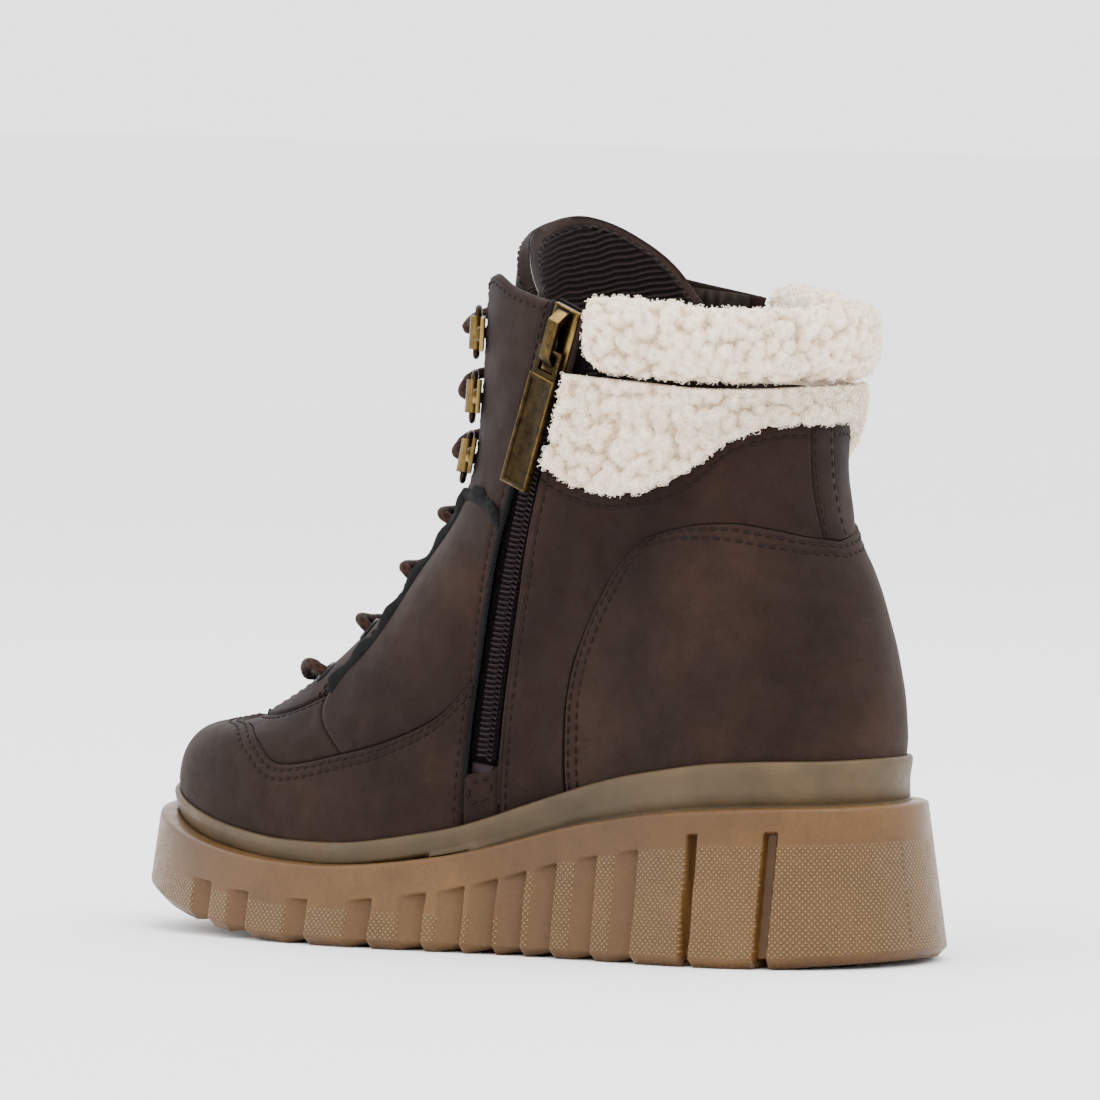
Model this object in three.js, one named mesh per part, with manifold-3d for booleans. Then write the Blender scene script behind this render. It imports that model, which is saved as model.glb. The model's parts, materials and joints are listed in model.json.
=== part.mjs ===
// Winter ankle boot for the right foot: sherpa collar, laced front, side zip and platform lug sole.
// Millimetres. The toe points to -Y, the inner (medial) side of the foot to +X, the ground is z = 0.
//
// The upper follows one surface, form(s, phi). s runs from the feather line (0) to the top edge (1).
// phi runs round the foot: 0 at the front centre, + on the medial side, 180 at the back centre.
// Every panel is a patch of that surface between two distances along its normal.
import * as THREE from 'three';
import { mergeVertices } from 'three/addons/utils/BufferGeometryUtils.js';
import Module from 'manifold-3d';

const wasm = await Module();
wasm.setup();

// ---- overall sizes ----
const LAST_LENGTH = 228.6; // feather line, toe to heel
const LAST_WIDTH = 90; // feather line, across the ball
const FRONT_HEIGHT = 149; // top edge above the feather line, front centre
const BACK_HEIGHT = 121; // the same at the back centre
const TOE_SEAT = 31; // feather line above the ground at the toe
const HEEL_SEAT = 47; // the same at the heel

// ---- leather, lining and padding ----
const LEATHER = 1.6;
const OVERLAY = 2.4; // mudguard and counter leather with their folded edges
const SEAM = 0.8; // gap between two neighbouring panels
const STIFFENER_TOP = -0.7; // outer face of the stiffeners, under the leather
const STIFFENER = 0.8;
const LINING_TOP = -2.2; // outer face of the lining
const LINING = 2.1;
const LOOSE = 0.35; // gap between pieces that lie on each other
const GUARD = 1; // flap behind the zip
const TONGUE_TOP = -5.6; // outer face of the tongue, measured from the form
const TONGUE_LEATHER = 1.3;
const TONGUE_FOAM = 2.6;
const TONGUE_LINING = 1;
const SHERPA = 5.2; // pile height of the collar panel
const CUFF_OUT = 8.6; // how far the rolled cuff stands out
const CUFF_IN = 6.2;
const CUFF_RISE = 23; // height of the rolled cuff

// ---- sole ----
const LEDGE_OUT = 9; // top edge of the outsole beyond the upper
const WALL_TOE = 11.5; // foot of the outsole wall beyond the upper, at the toe
const WALL_HEEL = 14;
const TOE_SPRING = 15.5;
const HEEL_LIFT = 2.5;
const BEVEL = 2.5;
const FLOOR = 8; // rubber under the filler
const RIM = 6; // width of the outsole rim that carries the insole board
const GROOVE_DEPTH = 2.6;
const DEEP_GROOVE = 5;
const TREAD_DEPTH = 2.5;
const BAND = 1.8;
const BAND_HEIGHT = 9; // band above the feather line
const BAND_SET = 3; // band sunk in the outsole
const BOARD = 2.4;
const FOOTBED = 4.5;
const SHANK_WIDTH = 14;
const SHANK = 1;

// ---- zip ----
const SLIT = 5.2; // half the opening in the leather
const COIL = 3.1; // width of one coil
const COIL_HEIGHT = 3;
const TAPE = 7.6; // width of one tape
const TAPE_THICK = 0.8;
const ZIP_BOTTOM = 52; // height of the bottom stop
const SLIDER_LENGTH = 19;
const SLIDER_WIDTH = 9.2;
const PLATE = 1.4;
const BRIDGE_WIDTH = 3.6;
const BRIDGE_HEIGHT = 5.8; // above the coil side of the plate
const PULL_LENGTH = 31.5;
const PULL_WIDTH = 9;
const PULL_THICK = 2.5;
const LINK_WIRE = 1.6;

// ---- lacing ----
const LACE = 3;
const EYELET_BORE = 4.4;
const EYELET_WALL = 0.6;
const EYELET_FLANGE = 7.6;
const WIRE = 1.8; // wire of the lace rings
const RING_TALL = 13;
const RING_REACH = 9;
const BARREL = 4.2; // outer diameter of the clip barrel
const BARREL_TALL = 9;
const CLIP_WIDTH = 9;

// ---- the last, drawn for one size and graded to the sizes above ----
const DRAWN = { length: 228.6, width: 90, front: 149, back: 121 };
// s, front [y, height], back [y, height], half widths at phi 0 36 72 108 144 180: medial, lateral
const SECTIONS = [
  [0.0, [-115.5, 0], [113.1, 0], [58, 50, 43.5, 32, 44, 56], [56, 50, 47, 40, 46, 54]],
  [0.12, [-118.5, 11], [115.3, 13], [62, 54, 46, 35, 46, 58], [58, 53, 50, 43, 48, 56]],
  [0.24, [-111.7, 22], [113, 31], [62, 54, 45.5, 36.5, 46, 56], [58, 53, 49, 42, 47, 55]],
  [0.36, [-92.2, 27], [107.6, 50], [54, 49, 42.5, 37, 43, 51], [52, 49, 45, 39, 43, 50]],
  [0.5, [-65.8, 41], [100, 66], [44, 44, 41, 37, 40, 45], [44, 44, 41, 37, 39, 45]],
  [0.64, [-40.8, 62], [96, 80], [38, 41.5, 40.5, 37.5, 39, 43], [38, 41.5, 39.5, 37, 39, 43]],
  [0.82, [-16.9, 93], [95.4, 100], [37, 39.5, 39.2, 38, 38.5, 41], [37, 39.5, 39, 38, 38.5, 41]],
  [1.0, [-9.4, 149], [97.9, 121], [37, 40, 39.7, 39, 39, 41], [37, 40, 39.7, 39, 39, 41]],
];
const WIDTH_ANGLES = [0, 36, 72, 108, 144, 180];
// dip of the feather line below the straight line from toe to heel
const DIP_Y = [-115.5, -98, -78, -40, -3, 45, 92, 113];
const DIP = [0, -7.9, -13.2, -17.3, -14.3, -3.7, 0.7, 0];
// outsole ledge above the feather line
const LEDGE_Y = [-115.5, -90, -50, -10, 40, 88, 113];
const LEDGE_STEP = [2.5, 2, 2.2, 1, -2.3, -3.8, -4];
const TOE_LEAN = 6; // the toe leans to the medial side

// ---- seams on the medial side, as [s, phi]; a seam that ends at the zip gets its last point there ----
const TIP_LINE = [[0.3, 0], [0.318, 20], [0.319, 34], [0.262, 50], [0.222, 58], [0.24, 71]];
const ARCH_LINE = [[0.24, 71], [0.25, 77], [0.278, 85]];
const ARCH_END = 0.356;
const THROAT = [[0.36, 0], [0.364, 22], [0.37, 46], [0.4, 53]];
const EDGE_LINE = [[0.45, 50.5], [0.52, 50.5], [0.6, 45], [0.66, 40], [0.72, 38.5], [0.79, 42]];
const FACING_ARCH = [[0.79, 42], [0.785, 52], [0.76, 64]];
const FACING_END = 0.706;
const COUNTER_LINE = [[0, 108], [0.18, 108.5], [0.36, 110], [0.46, 113], [0.54, 117], [0.585, 122.5],
  [0.592, 131], [0.575, 145], [0.535, 158], [0.505, 168], [0.486, 180]];
const COUNTER_CORNER = 5; // the point of the counter line where its side turns into its top
const SHERPA_START = 0.8;
const SHERPA_LOW = [[0.75, 98], [0.71, 111], [0.7, 123], [0.73, 133], [0.775, 142], [0.792, 157],
  [0.785, 180]];
const CUFF_START = 0.92;
const CUFF_LINE = [[0.905, 114], [0.888, 133], [0.877, 155], [0.875, 180]];
const ZIP_POINTS = [[0.12, 95], [0.5, 90.3], [1, 88]]; // three points on the zip's centre line
const STRIP_HALF = 6; // back strip, degrees each side of the back centre
const FRONT_EDGE = [[0.36, 22], [0.6, 24], [0.8, 30], [1, 30]]; // inner edge of eyestay and facing
const LINING_EDGE = 47; // front edge of the quarter linings
const EYELET_ROWS = [[0.46, 37], [0.55, 36], [0.65, 34.5], [0.755, 33]];
const RING_ROWS = [[0.842, 33], [0.9, 33], [0.955, 33]];
const GROOVES = [-80, -64, -41, -19, -2, 10, 20, 29, 39, 53, 67];
const DEEP_GROOVES = [86, 107];
const TREADS = [-92, -72, -52, -31, -10, 16, 33, 60, 96];

const lengthScale = LAST_LENGTH / DRAWN.length;
const widthScale = LAST_WIDTH / DRAWN.width;
const rad = THREE.MathUtils.degToRad;
const lerp = THREE.MathUtils.lerp;
const clamp = THREE.MathUtils.clamp;
const SIDES = { medial: 1, lateral: -1 };

// ---- mathematics ----

// A smooth curve through the points, with no overshoot at the ends.
function spline(xs, ys) {
  const last = xs.length - 1;
  const slope = (i) => (ys[i + 1] - ys[i]) / (xs[i + 1] - xs[i]);
  const tangent = (i) => {
    if (i === 0) return slope(0);
    if (i === last) return slope(last - 1);
    const before = xs[i] - xs[i - 1];
    const after = xs[i + 1] - xs[i];
    return (after * slope(i - 1) + before * slope(i)) / (before + after);
  };
  return (x) => {
    const t = clamp(x, xs[0], xs[last]);
    let i = 0;
    while (i < last - 1 && t >= xs[i + 1]) i += 1;
    const h = xs[i + 1] - xs[i];
    const u = (t - xs[i]) / h;
    const rise = (u ** 3 - 2 * u ** 2 + u) * h * tangent(i) + (u ** 3 - u ** 2) * h * tangent(i + 1);
    return lerp(ys[i], ys[i + 1], 3 * u ** 2 - 2 * u ** 3) + rise;
  };
}

const sectionKeys = SECTIONS.map((section) => section[0]);
const sectionValue = (pick) => spline(sectionKeys, SECTIONS.map(pick));
const frontY = sectionValue((section) => section[1][0] * lengthScale);
const frontRise = sectionValue((section) => section[1][1] * (FRONT_HEIGHT / DRAWN.front));
const backY = sectionValue((section) => section[2][0] * lengthScale);
const backRise = sectionValue((section) => section[2][1] * (BACK_HEIGHT / DRAWN.back));
const halfWidths = [3, 4].map((side) => (
  WIDTH_ANGLES.map((angle, k) => sectionValue((row) => row[side][k]))));
const dip = spline(DIP_Y.map((y) => y * lengthScale), DIP);
const ledgeStep = spline(LEDGE_Y.map((y) => y * lengthScale), LEDGE_STEP);

function halfWidth(s, phi) {
  const rows = halfWidths[phi >= 0 ? 0 : 1];
  return spline(WIDTH_ANGLES, rows.map((row) => row(s)))(Math.abs(phi)) * widthScale;
}

function formInside(s, phi) {
  const turn = rad(Math.abs(phi));
  const back = (1 - Math.cos(turn)) / 2;
  const y = lerp(frontY(s), backY(s), back);
  const lean = TOE_LEAN * widthScale * clamp((-y / lengthScale - 40) / 80, 0, 1) ** 1.5;
  const x = Math.sign(phi) * halfWidth(s, phi) * Math.sin(turn) + lean;
  const fade = THREE.MathUtils.smoothstep(1 - s / 0.55, 0, 1);
  const sag = dip(y) * fade * Math.sqrt(Math.max(Math.sin(turn), 0));
  const z = lerp(TOE_SEAT + frontRise(s), HEEL_SEAT + backRise(s), back) + sag;
  return new THREE.Vector3(x, y, z);
}

// Angles past the back centre come round on the other side. Above the top edge the form runs on straight.
function form(s, phi) {
  const angle = phi > 180 ? phi - 360 : phi < -180 ? phi + 360 : phi;
  if (s <= 1) return formInside(Math.max(s, 0), angle);
  const edge = formInside(1, angle);
  const run = edge.clone().sub(formInside(0.98, angle)).multiplyScalar((s - 1) / 0.02);
  return edge.add(run);
}

function formFrame(s, phi) {
  const round = form(s, phi + 1).sub(form(s, phi - 1));
  const up = form(s + 0.01, phi).sub(form(Math.max(s - 0.01, 0), phi)).normalize();
  const out = round.clone().cross(up).normalize();
  return { point: form(s, phi), round: round.normalize(), up, out };
}

function onForm(s, phi, lift) {
  const { point, out } = formFrame(s, phi);
  return point.addScaledVector(out, lift);
}

// A point of the plan outline at s, moved outwards on the level.
function plan(s, phi, outward) {
  const point = form(s, phi);
  const along = form(s, phi + 1).sub(form(s, phi - 1));
  const out = new THREE.Vector3(along.y, -along.x, 0).normalize();
  return point.addScaledVector(out, outward);
}

const featherHeight = (phi) => form(0, phi).z;
const ledgeHeight = (phi) => featherHeight(phi) + ledgeStep(form(0, phi).y);
const seatHeight = (phi) => featherHeight(phi) - 0.6;

// The ground line of the sole: flat in the middle, sprung up at the toe, lifted at the heel.
function rocker(y) {
  const toe = clamp((-45 * lengthScale - y) / (90 * lengthScale), 0, 1);
  const heel = clamp((y - 98 * lengthScale) / (35 * lengthScale), 0, 1);
  return TOE_SPRING * toe ** 1.8 + HEEL_LIFT * heel ** 1.5;
}

// ---- solids ----

function geometryFrom(points, faces) {
  const geometry = new THREE.BufferGeometry();
  const numbers = points.flatMap((point) => point.toArray());
  geometry.setAttribute('position', new THREE.Float32BufferAttribute(numbers, 3));
  let volume = 0;
  for (const [a, b, c] of faces) {
    volume += points[a].dot(points[b].clone().cross(points[c]));
  }
  const turned = volume > 0 ? faces : faces.map(([a, b, c]) => [a, c, b]);
  geometry.setIndex(turned.flat());
  return geometry;
}

function quad(faces, a, b, c, d) {
  faces.push([a, b, c], [a, c, d]);
}

// Columns of outer and inner points, joined side by side into one closed body.
function loft(columns, closed = false) {
  const rows = columns[0].outer.length;
  const points = columns.flatMap((column) => [...column.outer, ...column.inner]);
  const outer = (i, j) => (i % columns.length) * 2 * rows + j;
  const inner = (i, j) => outer(i, j) + rows;
  const faces = [];
  const spans = closed ? columns.length : columns.length - 1;
  for (let i = 0; i < spans; i += 1) {
    for (let j = 0; j < rows - 1; j += 1) {
      quad(faces, outer(i, j), outer(i + 1, j), outer(i + 1, j + 1), outer(i, j + 1));
      quad(faces, inner(i, j), inner(i, j + 1), inner(i + 1, j + 1), inner(i + 1, j));
    }
    quad(faces, outer(i, 0), inner(i, 0), inner(i + 1, 0), outer(i + 1, 0));
    quad(faces, outer(i, rows - 1), outer(i + 1, rows - 1), inner(i + 1, rows - 1), inner(i, rows - 1));
  }
  const last = columns.length - 1;
  for (let j = 0; j < rows - 1 && !closed; j += 1) {
    quad(faces, outer(0, j), outer(0, j + 1), inner(0, j + 1), inner(0, j));
    quad(faces, outer(last, j), inner(last, j), inner(last, j + 1), outer(last, j + 1));
  }
  return geometryFrom(points, faces);
}

// Closed level outlines stacked from the bottom up, with both ends closed from side to side.
function stack(rings) {
  const count = rings[0].length;
  const points = rings.flat();
  const at = (k, j) => k * count + (j % count);
  const faces = [];
  for (let k = 0; k < rings.length - 1; k += 1) {
    for (let j = 0; j < count; j += 1) quad(faces, at(k, j), at(k, j + 1), at(k + 1, j + 1), at(k + 1, j));
  }
  const top = rings.length - 1;
  faces.push([at(0, 0), at(0, count - 1), at(0, 1)], [at(top, 0), at(top, 1), at(top, count - 1)]);
  const half = count / 2;
  for (let j = 1; j < half - 1; j += 1) {
    quad(faces, at(0, j + 1), at(0, j), at(0, count - j), at(0, count - j - 1));
    quad(faces, at(top, j), at(top, j + 1), at(top, count - j - 1), at(top, count - j));
  }
  faces.push([at(0, half), at(0, half - 1), at(0, half + 1)]);
  faces.push([at(top, half), at(top, half + 1), at(top, half - 1)]);
  return geometryFrom(points, faces);
}

// A round bar along the points; closed joins its end to its start.
function bar(points, thickness, sides = 8, closed = false) {
  const count = points.length;
  const next = (i) => points[closed ? (i + 1) % count : Math.min(i + 1, count - 1)];
  const before = (i) => points[closed ? (i + count - 1) % count : Math.max(i - 1, 0)];
  const along = points.map((point, i) => next(i).clone().sub(before(i)).normalize());
  const first = Math.abs(along[0].z) < 0.9 ? new THREE.Vector3(0, 0, 1) : new THREE.Vector3(1, 0, 0);
  let across = first.cross(along[0]).normalize();
  const rings = points.map((point, i) => {
    across = across.clone().addScaledVector(along[i], -across.dot(along[i])).normalize();
    const other = along[i].clone().cross(across);
    return Array.from({ length: sides }, (_, k) => {
      const turn = (2 * Math.PI * k) / sides;
      const spoke = across.clone().multiplyScalar(Math.cos(turn)).addScaledVector(other, Math.sin(turn));
      return point.clone().addScaledVector(spoke, thickness / 2);
    });
  });
  const faces = [];
  const at = (i, k) => (i % count) * sides + (k % sides);
  for (let i = 0; i < (closed ? count : count - 1); i += 1) {
    for (let k = 0; k < sides; k += 1) quad(faces, at(i, k), at(i, k + 1), at(i + 1, k + 1), at(i + 1, k));
  }
  for (let k = 1; k < sides - 1 && !closed; k += 1) {
    faces.push([at(0, 0), at(0, k + 1), at(0, k)]);
    faces.push([at(count - 1, 0), at(count - 1, k), at(count - 1, k + 1)]);
  }
  return geometryFrom(rings.flat(), faces);
}

// A block with four-cornered ends, given bottom and top.
function block(bottom, top) {
  const faces = [];
  quad(faces, 0, 3, 2, 1);
  quad(faces, 4, 5, 6, 7);
  for (let k = 0; k < 4; k += 1) quad(faces, k, (k + 1) % 4, 4 + ((k + 1) % 4), 4 + k);
  return geometryFrom([...bottom, ...top], faces);
}

function box(x, y, z, cx, cy, cz) {
  return new THREE.BoxGeometry(x, y, z).translate(cx, cy, cz);
}

// A pipe along Z, centred on the origin.
function pipe(outerRadius, innerRadius, height, segments) {
  const half = height / 2;
  const corners = [[innerRadius, -half], [outerRadius, -half], [outerRadius, half], [innerRadius, half]];
  const profile = [...corners, corners[0]].map(([r, z]) => new THREE.Vector2(r, z));
  return new THREE.LatheGeometry(profile, segments).rotateX(Math.PI / 2);
}

function toSolid(geometry) {
  const plain = geometry.clone();
  plain.deleteAttribute('normal');
  plain.deleteAttribute('uv');
  const merged = mergeVertices(plain, 1e-5);
  const vertProperties = new Float32Array(merged.attributes.position.array);
  const triVerts = new Uint32Array(merged.index.array);
  return new wasm.Manifold(new wasm.Mesh({ numProp: 3, vertProperties, triVerts }));
}

function fromSolid(solid) {
  const mesh = solid.getMesh();
  const geometry = new THREE.BufferGeometry();
  geometry.setAttribute('position', new THREE.BufferAttribute(new Float32Array(mesh.vertProperties), 3));
  geometry.setIndex(new THREE.BufferAttribute(new Uint32Array(mesh.triVerts), 1));
  return geometry;
}

const join = (parts) => fromSolid(parts.map(toSolid).reduce((whole, part) => whole.add(part)));
const cut = (body, tools) => fromSolid(
  tools.map(toSolid).reduce((rest, tool) => rest.subtract(tool), toSolid(body)));

// ---- panels of the upper ----

// A smooth line through [s, phi] points, measured 0 to 1 by its length on the pattern.
function line(points) {
  const reach = [0];
  for (let i = 1; i < points.length; i += 1) {
    const [s0, phi0] = points[i - 1];
    const [s1, phi1] = points[i];
    reach.push(reach[i - 1] + Math.hypot((s1 - s0) * 150, (phi1 - phi0) * 0.7));
  }
  const keys = reach.map((length) => length / reach[reach.length - 1]);
  const s = spline(keys, points.map((point) => point[0]));
  const phi = spline(keys, points.map((point) => point[1]));
  const curve = (t) => [s(t), phi(t)];
  curve.at = (i) => keys[i];
  curve.whenPhi = (angle) => solve((t) => phi(t) - angle, 0, 1);
  return curve;
}

// Where a function that rises from below zero to above it crosses zero.
function solve(value, from, to) {
  let low = from;
  let high = to;
  for (let i = 0; i < 40; i += 1) {
    const middle = (low + high) / 2;
    if (value(middle) < 0) low = middle;
    else high = middle;
  }
  return low;
}

const endOf = (points) => points[points.length - 1];

// The patch between four lines that meet at their ends, drawn in by half a seam, as a closed body.
function panel({ bottom, top, left, right, across, rise, inner, outer, seam = SEAM / 2 }) {
  const sides = [bottom, top, left, right].map((side) => (typeof side === 'function' ? side : line(side)));
  const [low, high, start, end] = sides;
  const mix = (u, v, k) => {
    const edges = lerp(low(u)[k], high(u)[k], v) + lerp(start(v)[k], end(v)[k], u);
    const corners = lerp(lerp(low(0)[k], low(1)[k], u), lerp(high(0)[k], high(1)[k], u), v);
    return edges - corners;
  };
  const spot = (u, v) => [mix(u, v, 0), mix(u, v, 1)];
  const step = 0.02;
  const size = (a, b) => form(...a).distanceTo(form(...b)) / step;
  const inset = (u, v) => {
    const du = seam / size(spot(clamp(u, 0, 1 - step), v), spot(clamp(u, 0, 1 - step) + step, v));
    const dv = seam / size(spot(u, clamp(v, 0, 1 - step)), spot(u, clamp(v, 0, 1 - step) + step));
    return spot(clamp(u, du, 1 - du), clamp(v, dv, 1 - dv));
  };
  const columns = [];
  for (let i = 0; i <= across; i += 1) {
    const column = { outer: [], inner: [] };
    for (let j = 0; j <= rise; j += 1) {
      const [s, phi] = inset(i / across, j / rise);
      column.outer.push(onForm(s, phi, outer));
      column.inner.push(onForm(s, phi, inner));
    }
    columns.push(column);
  }
  return loft(columns);
}

// ---- the zip's arc: a circle in the plane x = zip.x ----

function zipArc() {
  const [a, b, c] = ZIP_POINTS.map(([s, phi]) => form(s, phi));
  const slope = (p, q) => [q.y - p.y, q.z - p.z, (q.y ** 2 - p.y ** 2 + q.z ** 2 - p.z ** 2) / 2];
  const [y1, z1, k1] = slope(a, b);
  const [y2, z2, k2] = slope(b, c);
  const det = y1 * z2 - y2 * z1;
  const y = (k1 * z2 - k2 * z1) / det;
  const z = (y1 * k2 - y2 * k1) / det;
  return { y, z, radius: Math.hypot(a.y - y, a.z - z) };
}

const zip = zipArc();
const zipAngle = (height) => Math.asin((height - zip.z) / zip.radius);
const zipTop = form(1, ZIP_POINTS[2][1]).z - 1;

// The angle on the form at height s that lies the given distance in front of the zip's centre line.
function zipPhi(s, ahead) {
  return solve((phi) => {
    const point = form(s, phi);
    return zip.radius + ahead - Math.hypot(point.y - zip.y, point.z - zip.z);
  }, 50, 130);
}

// The zip's plane touches the form where the form is narrowest along the zip.
const zipX = Math.min(...Array.from({ length: 12 }, (_, i) => {
  const s = lerp(ZIP_POINTS[0][0], 1, i / 11);
  return form(s, zipPhi(s, 0)).x;
}));
const TAPE_X = zipX - 2.45; // inner face of the tapes
const COIL_X = TAPE_X + TAPE_THICK + 0.05;
const COIL_TOP = COIL_X + COIL_HEIGHT;

function zipLine(s0, s1, ahead) {
  return (t) => {
    const s = lerp(s0, s1, t);
    return [s, zipPhi(s, ahead)];
  };
}

function zipPoint(angle, ahead, x) {
  const reach = zip.radius + ahead;
  return new THREE.Vector3(x, zip.y - reach * Math.cos(angle), zip.z + reach * Math.sin(angle));
}

// A strip along the arc, from one distance ahead of the centre line to another.
function zipStrip(low, high, from, to, base, top, steps) {
  const columns = [];
  for (let i = 0; i <= steps; i += 1) {
    const angle = lerp(zipAngle(low), zipAngle(high), i / steps);
    columns.push({
      outer: [zipPoint(angle, from, top), zipPoint(angle, to, top)],
      inner: [zipPoint(angle, from, base), zipPoint(angle, to, base)],
    });
  }
  return loft(columns);
}

// ---- materials ----

const FINISHES = {
  nubuck: [0x3d2e2a, 0.92, 0],
  nubuck_light: [0x46362f, 0.92, 0],
  sherpa: [0xe9dfd6, 1, 0],
  gum: [0xa07a52, 0.45, 0],
  band: [0x7d6d57, 0.6, 0],
  board: [0xb9a78c, 0.9, 0],
  foam: [0x8d8a84, 0.95, 0],
  steel: [0x9a9a98, 0.4, 1],
  felt: [0x4a4644, 0.95, 0],
  brass: [0x6b5632, 0.4, 1],
  black: [0x25282b, 0.8, 0],
  tape: [0x2c2224, 0.85, 0],
  lace: [0x4a3029, 0.85, 0],
  rib: [0x3f3a3a, 0.95, 0],
};

function finish(kind) {
  const [color, roughness, metalness] = FINISHES[kind];
  return new THREE.MeshStandardMaterial({ color, roughness, metalness });
}

const boot = new THREE.Group();

function add(name, kind, geometry) {
  const mesh = new THREE.Mesh(geometry, finish(kind));
  mesh.name = name;
  boot.add(mesh);
}

// ---- sole unit ----

const OUTLINE_STEPS = 64;
const FOOT_S = 0.06; // level of the form that the outsole is drawn round

function outline(s, outward, height, steps = OUTLINE_STEPS) {
  return Array.from({ length: steps }, (_, j) => {
    const phi = (360 * j) / steps;
    const angle = phi > 180 ? phi - 360 : phi;
    const point = plan(s, angle, typeof outward === 'function' ? outward(angle) : outward);
    point.z = height(angle, point);
    return point;
  });
}

const wallOut = (phi) => lerp(WALL_TOE, WALL_HEEL, (1 - Math.cos(rad(Math.abs(phi)))) / 2);

// A point on the outsole wall, given how far up from the ground edge to the ledge.
function wallPoint(phi, up, outward) {
  const low = plan(FOOT_S, phi, wallOut(phi) + outward);
  low.z = rocker(low.y) + BEVEL;
  const high = plan(FOOT_S, phi, LEDGE_OUT + outward);
  high.z = ledgeHeight(phi);
  return low.lerp(high, up);
}

const phiAtStation = (y, side) => (
  side * solve((phi) => plan(FOOT_S, side * phi, WALL_TOE).y - y * lengthScale, 5, 175));

// A lug groove: deep and square on its heel side, running out towards the toe.
function grooveTool(y, side, width, depth, up, square) {
  const heel = phiAtStation(y, side);
  const toe = phiAtStation(y - width / lengthScale, side);
  const corners = [[heel, 4], [heel, -depth], [toe, square ? -depth : -0.2], [toe, 4]];
  const level = (t) => corners.map(([phi, out]) => wallPoint(phi, t, out));
  const low = level(-0.35);
  return block(low, level(up));
}

function treadTool(y) {
  const station = y * lengthScale;
  const reach = LAST_WIDTH;
  const base = rocker(station);
  return box(reach * 2, 4, TREAD_DEPTH * 2, 0, station, base);
}

function outsole() {
  const pocket = -RIM;
  const grooveFloor = (phi) => ledgeHeight(phi) - BAND_SET - 2 * LOOSE;
  const pocketFloor = (phi, point) => rocker(point.y) + FLOOR;
  const body = stack([
    outline(FOOT_S, (phi) => wallOut(phi) - BEVEL, (phi, point) => rocker(point.y)),
    outline(FOOT_S, wallOut, (phi, point) => rocker(point.y) + BEVEL),
    outline(FOOT_S, LEDGE_OUT, (phi) => ledgeHeight(phi) - 1),
    outline(FOOT_S, LEDGE_OUT - 1.2, ledgeHeight),
    outline(0, OVERLAY + BAND + 2.4, ledgeHeight),
    outline(0, OVERLAY + BAND + 2.2, grooveFloor),
    outline(0, OVERLAY - 0.2, grooveFloor),
    outline(0, OVERLAY - 0.3, seatHeight),
    outline(0, pocket, seatHeight),
    outline(0, pocket - 0.6, pocketFloor),
  ]);
  const tools = [];
  for (const side of Object.values(SIDES)) {
    for (const y of GROOVES) tools.push(grooveTool(y, side, 8, GROOVE_DEPTH, 0.66, false));
    for (const y of DEEP_GROOVES) tools.push(grooveTool(y, side, 3, DEEP_GROOVE, 0.78, true));
  }
  for (const y of TREADS) tools.push(treadTool(y));
  return cut(body, tools);
}

function foxingBand() {
  const columns = [];
  for (let i = 0; i < OUTLINE_STEPS; i += 1) {
    const phi = -180 + (360 * i) / OUTLINE_STEPS;
    const base = ledgeHeight(phi) - BAND_SET;
    const level = (height) => height / (form(0.12, phi).z - form(0, phi).z) * 0.12;
    const foot = (out) => {
      const point = plan(0, phi, out);
      point.z = base;
      return point;
    };
    const near = OVERLAY + 1.4 * LOOSE;
    columns.push({
      inner: [foot(near), onForm(0.01, phi, near), onForm(level(BAND_HEIGHT), phi, near)],
      outer: [
        foot(near + BAND + 0.6),
        onForm(0.01, phi, near + BAND + 0.5),
        onForm(level(BAND_HEIGHT - 0.6), phi, near + BAND),
      ],
    });
  }
  return loft(columns, true);
}

function solePlate(inward, from, to, steps = 40) {
  return stack([
    outline(0, -inward, from, steps),
    outline(0, -inward, to, steps),
  ]);
}

const boardBase = (phi) => seatHeight(phi) + LOOSE;
const boardTop = (phi) => boardBase(phi) + BOARD;
const fillerTop = (phi) => seatHeight(phi) - SHANK - 3.4 * LOOSE;

function soleFiller() {
  return solePlate(RIM + 1, (phi, point) => rocker(point.y) + FLOOR + LOOSE, fillerTop, 36);
}

function shank() {
  const columns = [];
  for (let i = 0; i <= 10; i += 1) {
    const y = lerp(-35, 75, i / 10) * lengthScale;
    const phi = phiOnSeat(y);
    const z = fillerTop(phi) + 2 * LOOSE;
    const corner = (side, up) => new THREE.Vector3((side * SHANK_WIDTH) / 2, y, z + up);
    columns.push({
      outer: [corner(-1, SHANK * 0.9), corner(1, SHANK * 0.9)],
      inner: [corner(-1, 0), corner(1, 0)],
    });
  }
  return loft(columns);
}

function phiOnSeat(y) {
  const share = (y - frontY(0)) / (backY(0) - frontY(0));
  return THREE.MathUtils.radToDeg(Math.acos(1 - 2 * share));
}

// ---- upper ----

// The part of a curve between two of its own fractions.
const part = (curve, from, to) => (t) => curve(lerp(from, to, t));
const between = (a, b) => (t) => [lerp(a[0], b[0], t), lerp(a[1], b[1], t)];
const mirror = (curve) => (t) => {
  const [s, phi] = curve(t);
  return [s, -phi];
};
const onSide = (curve, side) => (side > 0 ? curve : mirror(curve));

// Two curves end to end, the first up to the given fraction.
const chain = (first, second, join) => (t) => (
  t < join ? first(t / join) : second((t - join) / (1 - join)));

// A curve that ends at the back centre, carried on round the other side.
const roundBack = (curve) => (t) => {
  if (t <= 0.5) return curve(2 * t);
  const [s, phi] = curve(2 - 2 * t);
  return [s, 360 - phi];
};

// The line that stands where the zip is: the edge of the slit on the medial side, a seam on the other.
function zipSide(s0, s1, side, ahead) {
  const reach = side > 0 ? ahead * (SLIT - SEAM / 2) : 0;
  return onSide(zipLine(s0, s1, reach), side);
}

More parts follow.
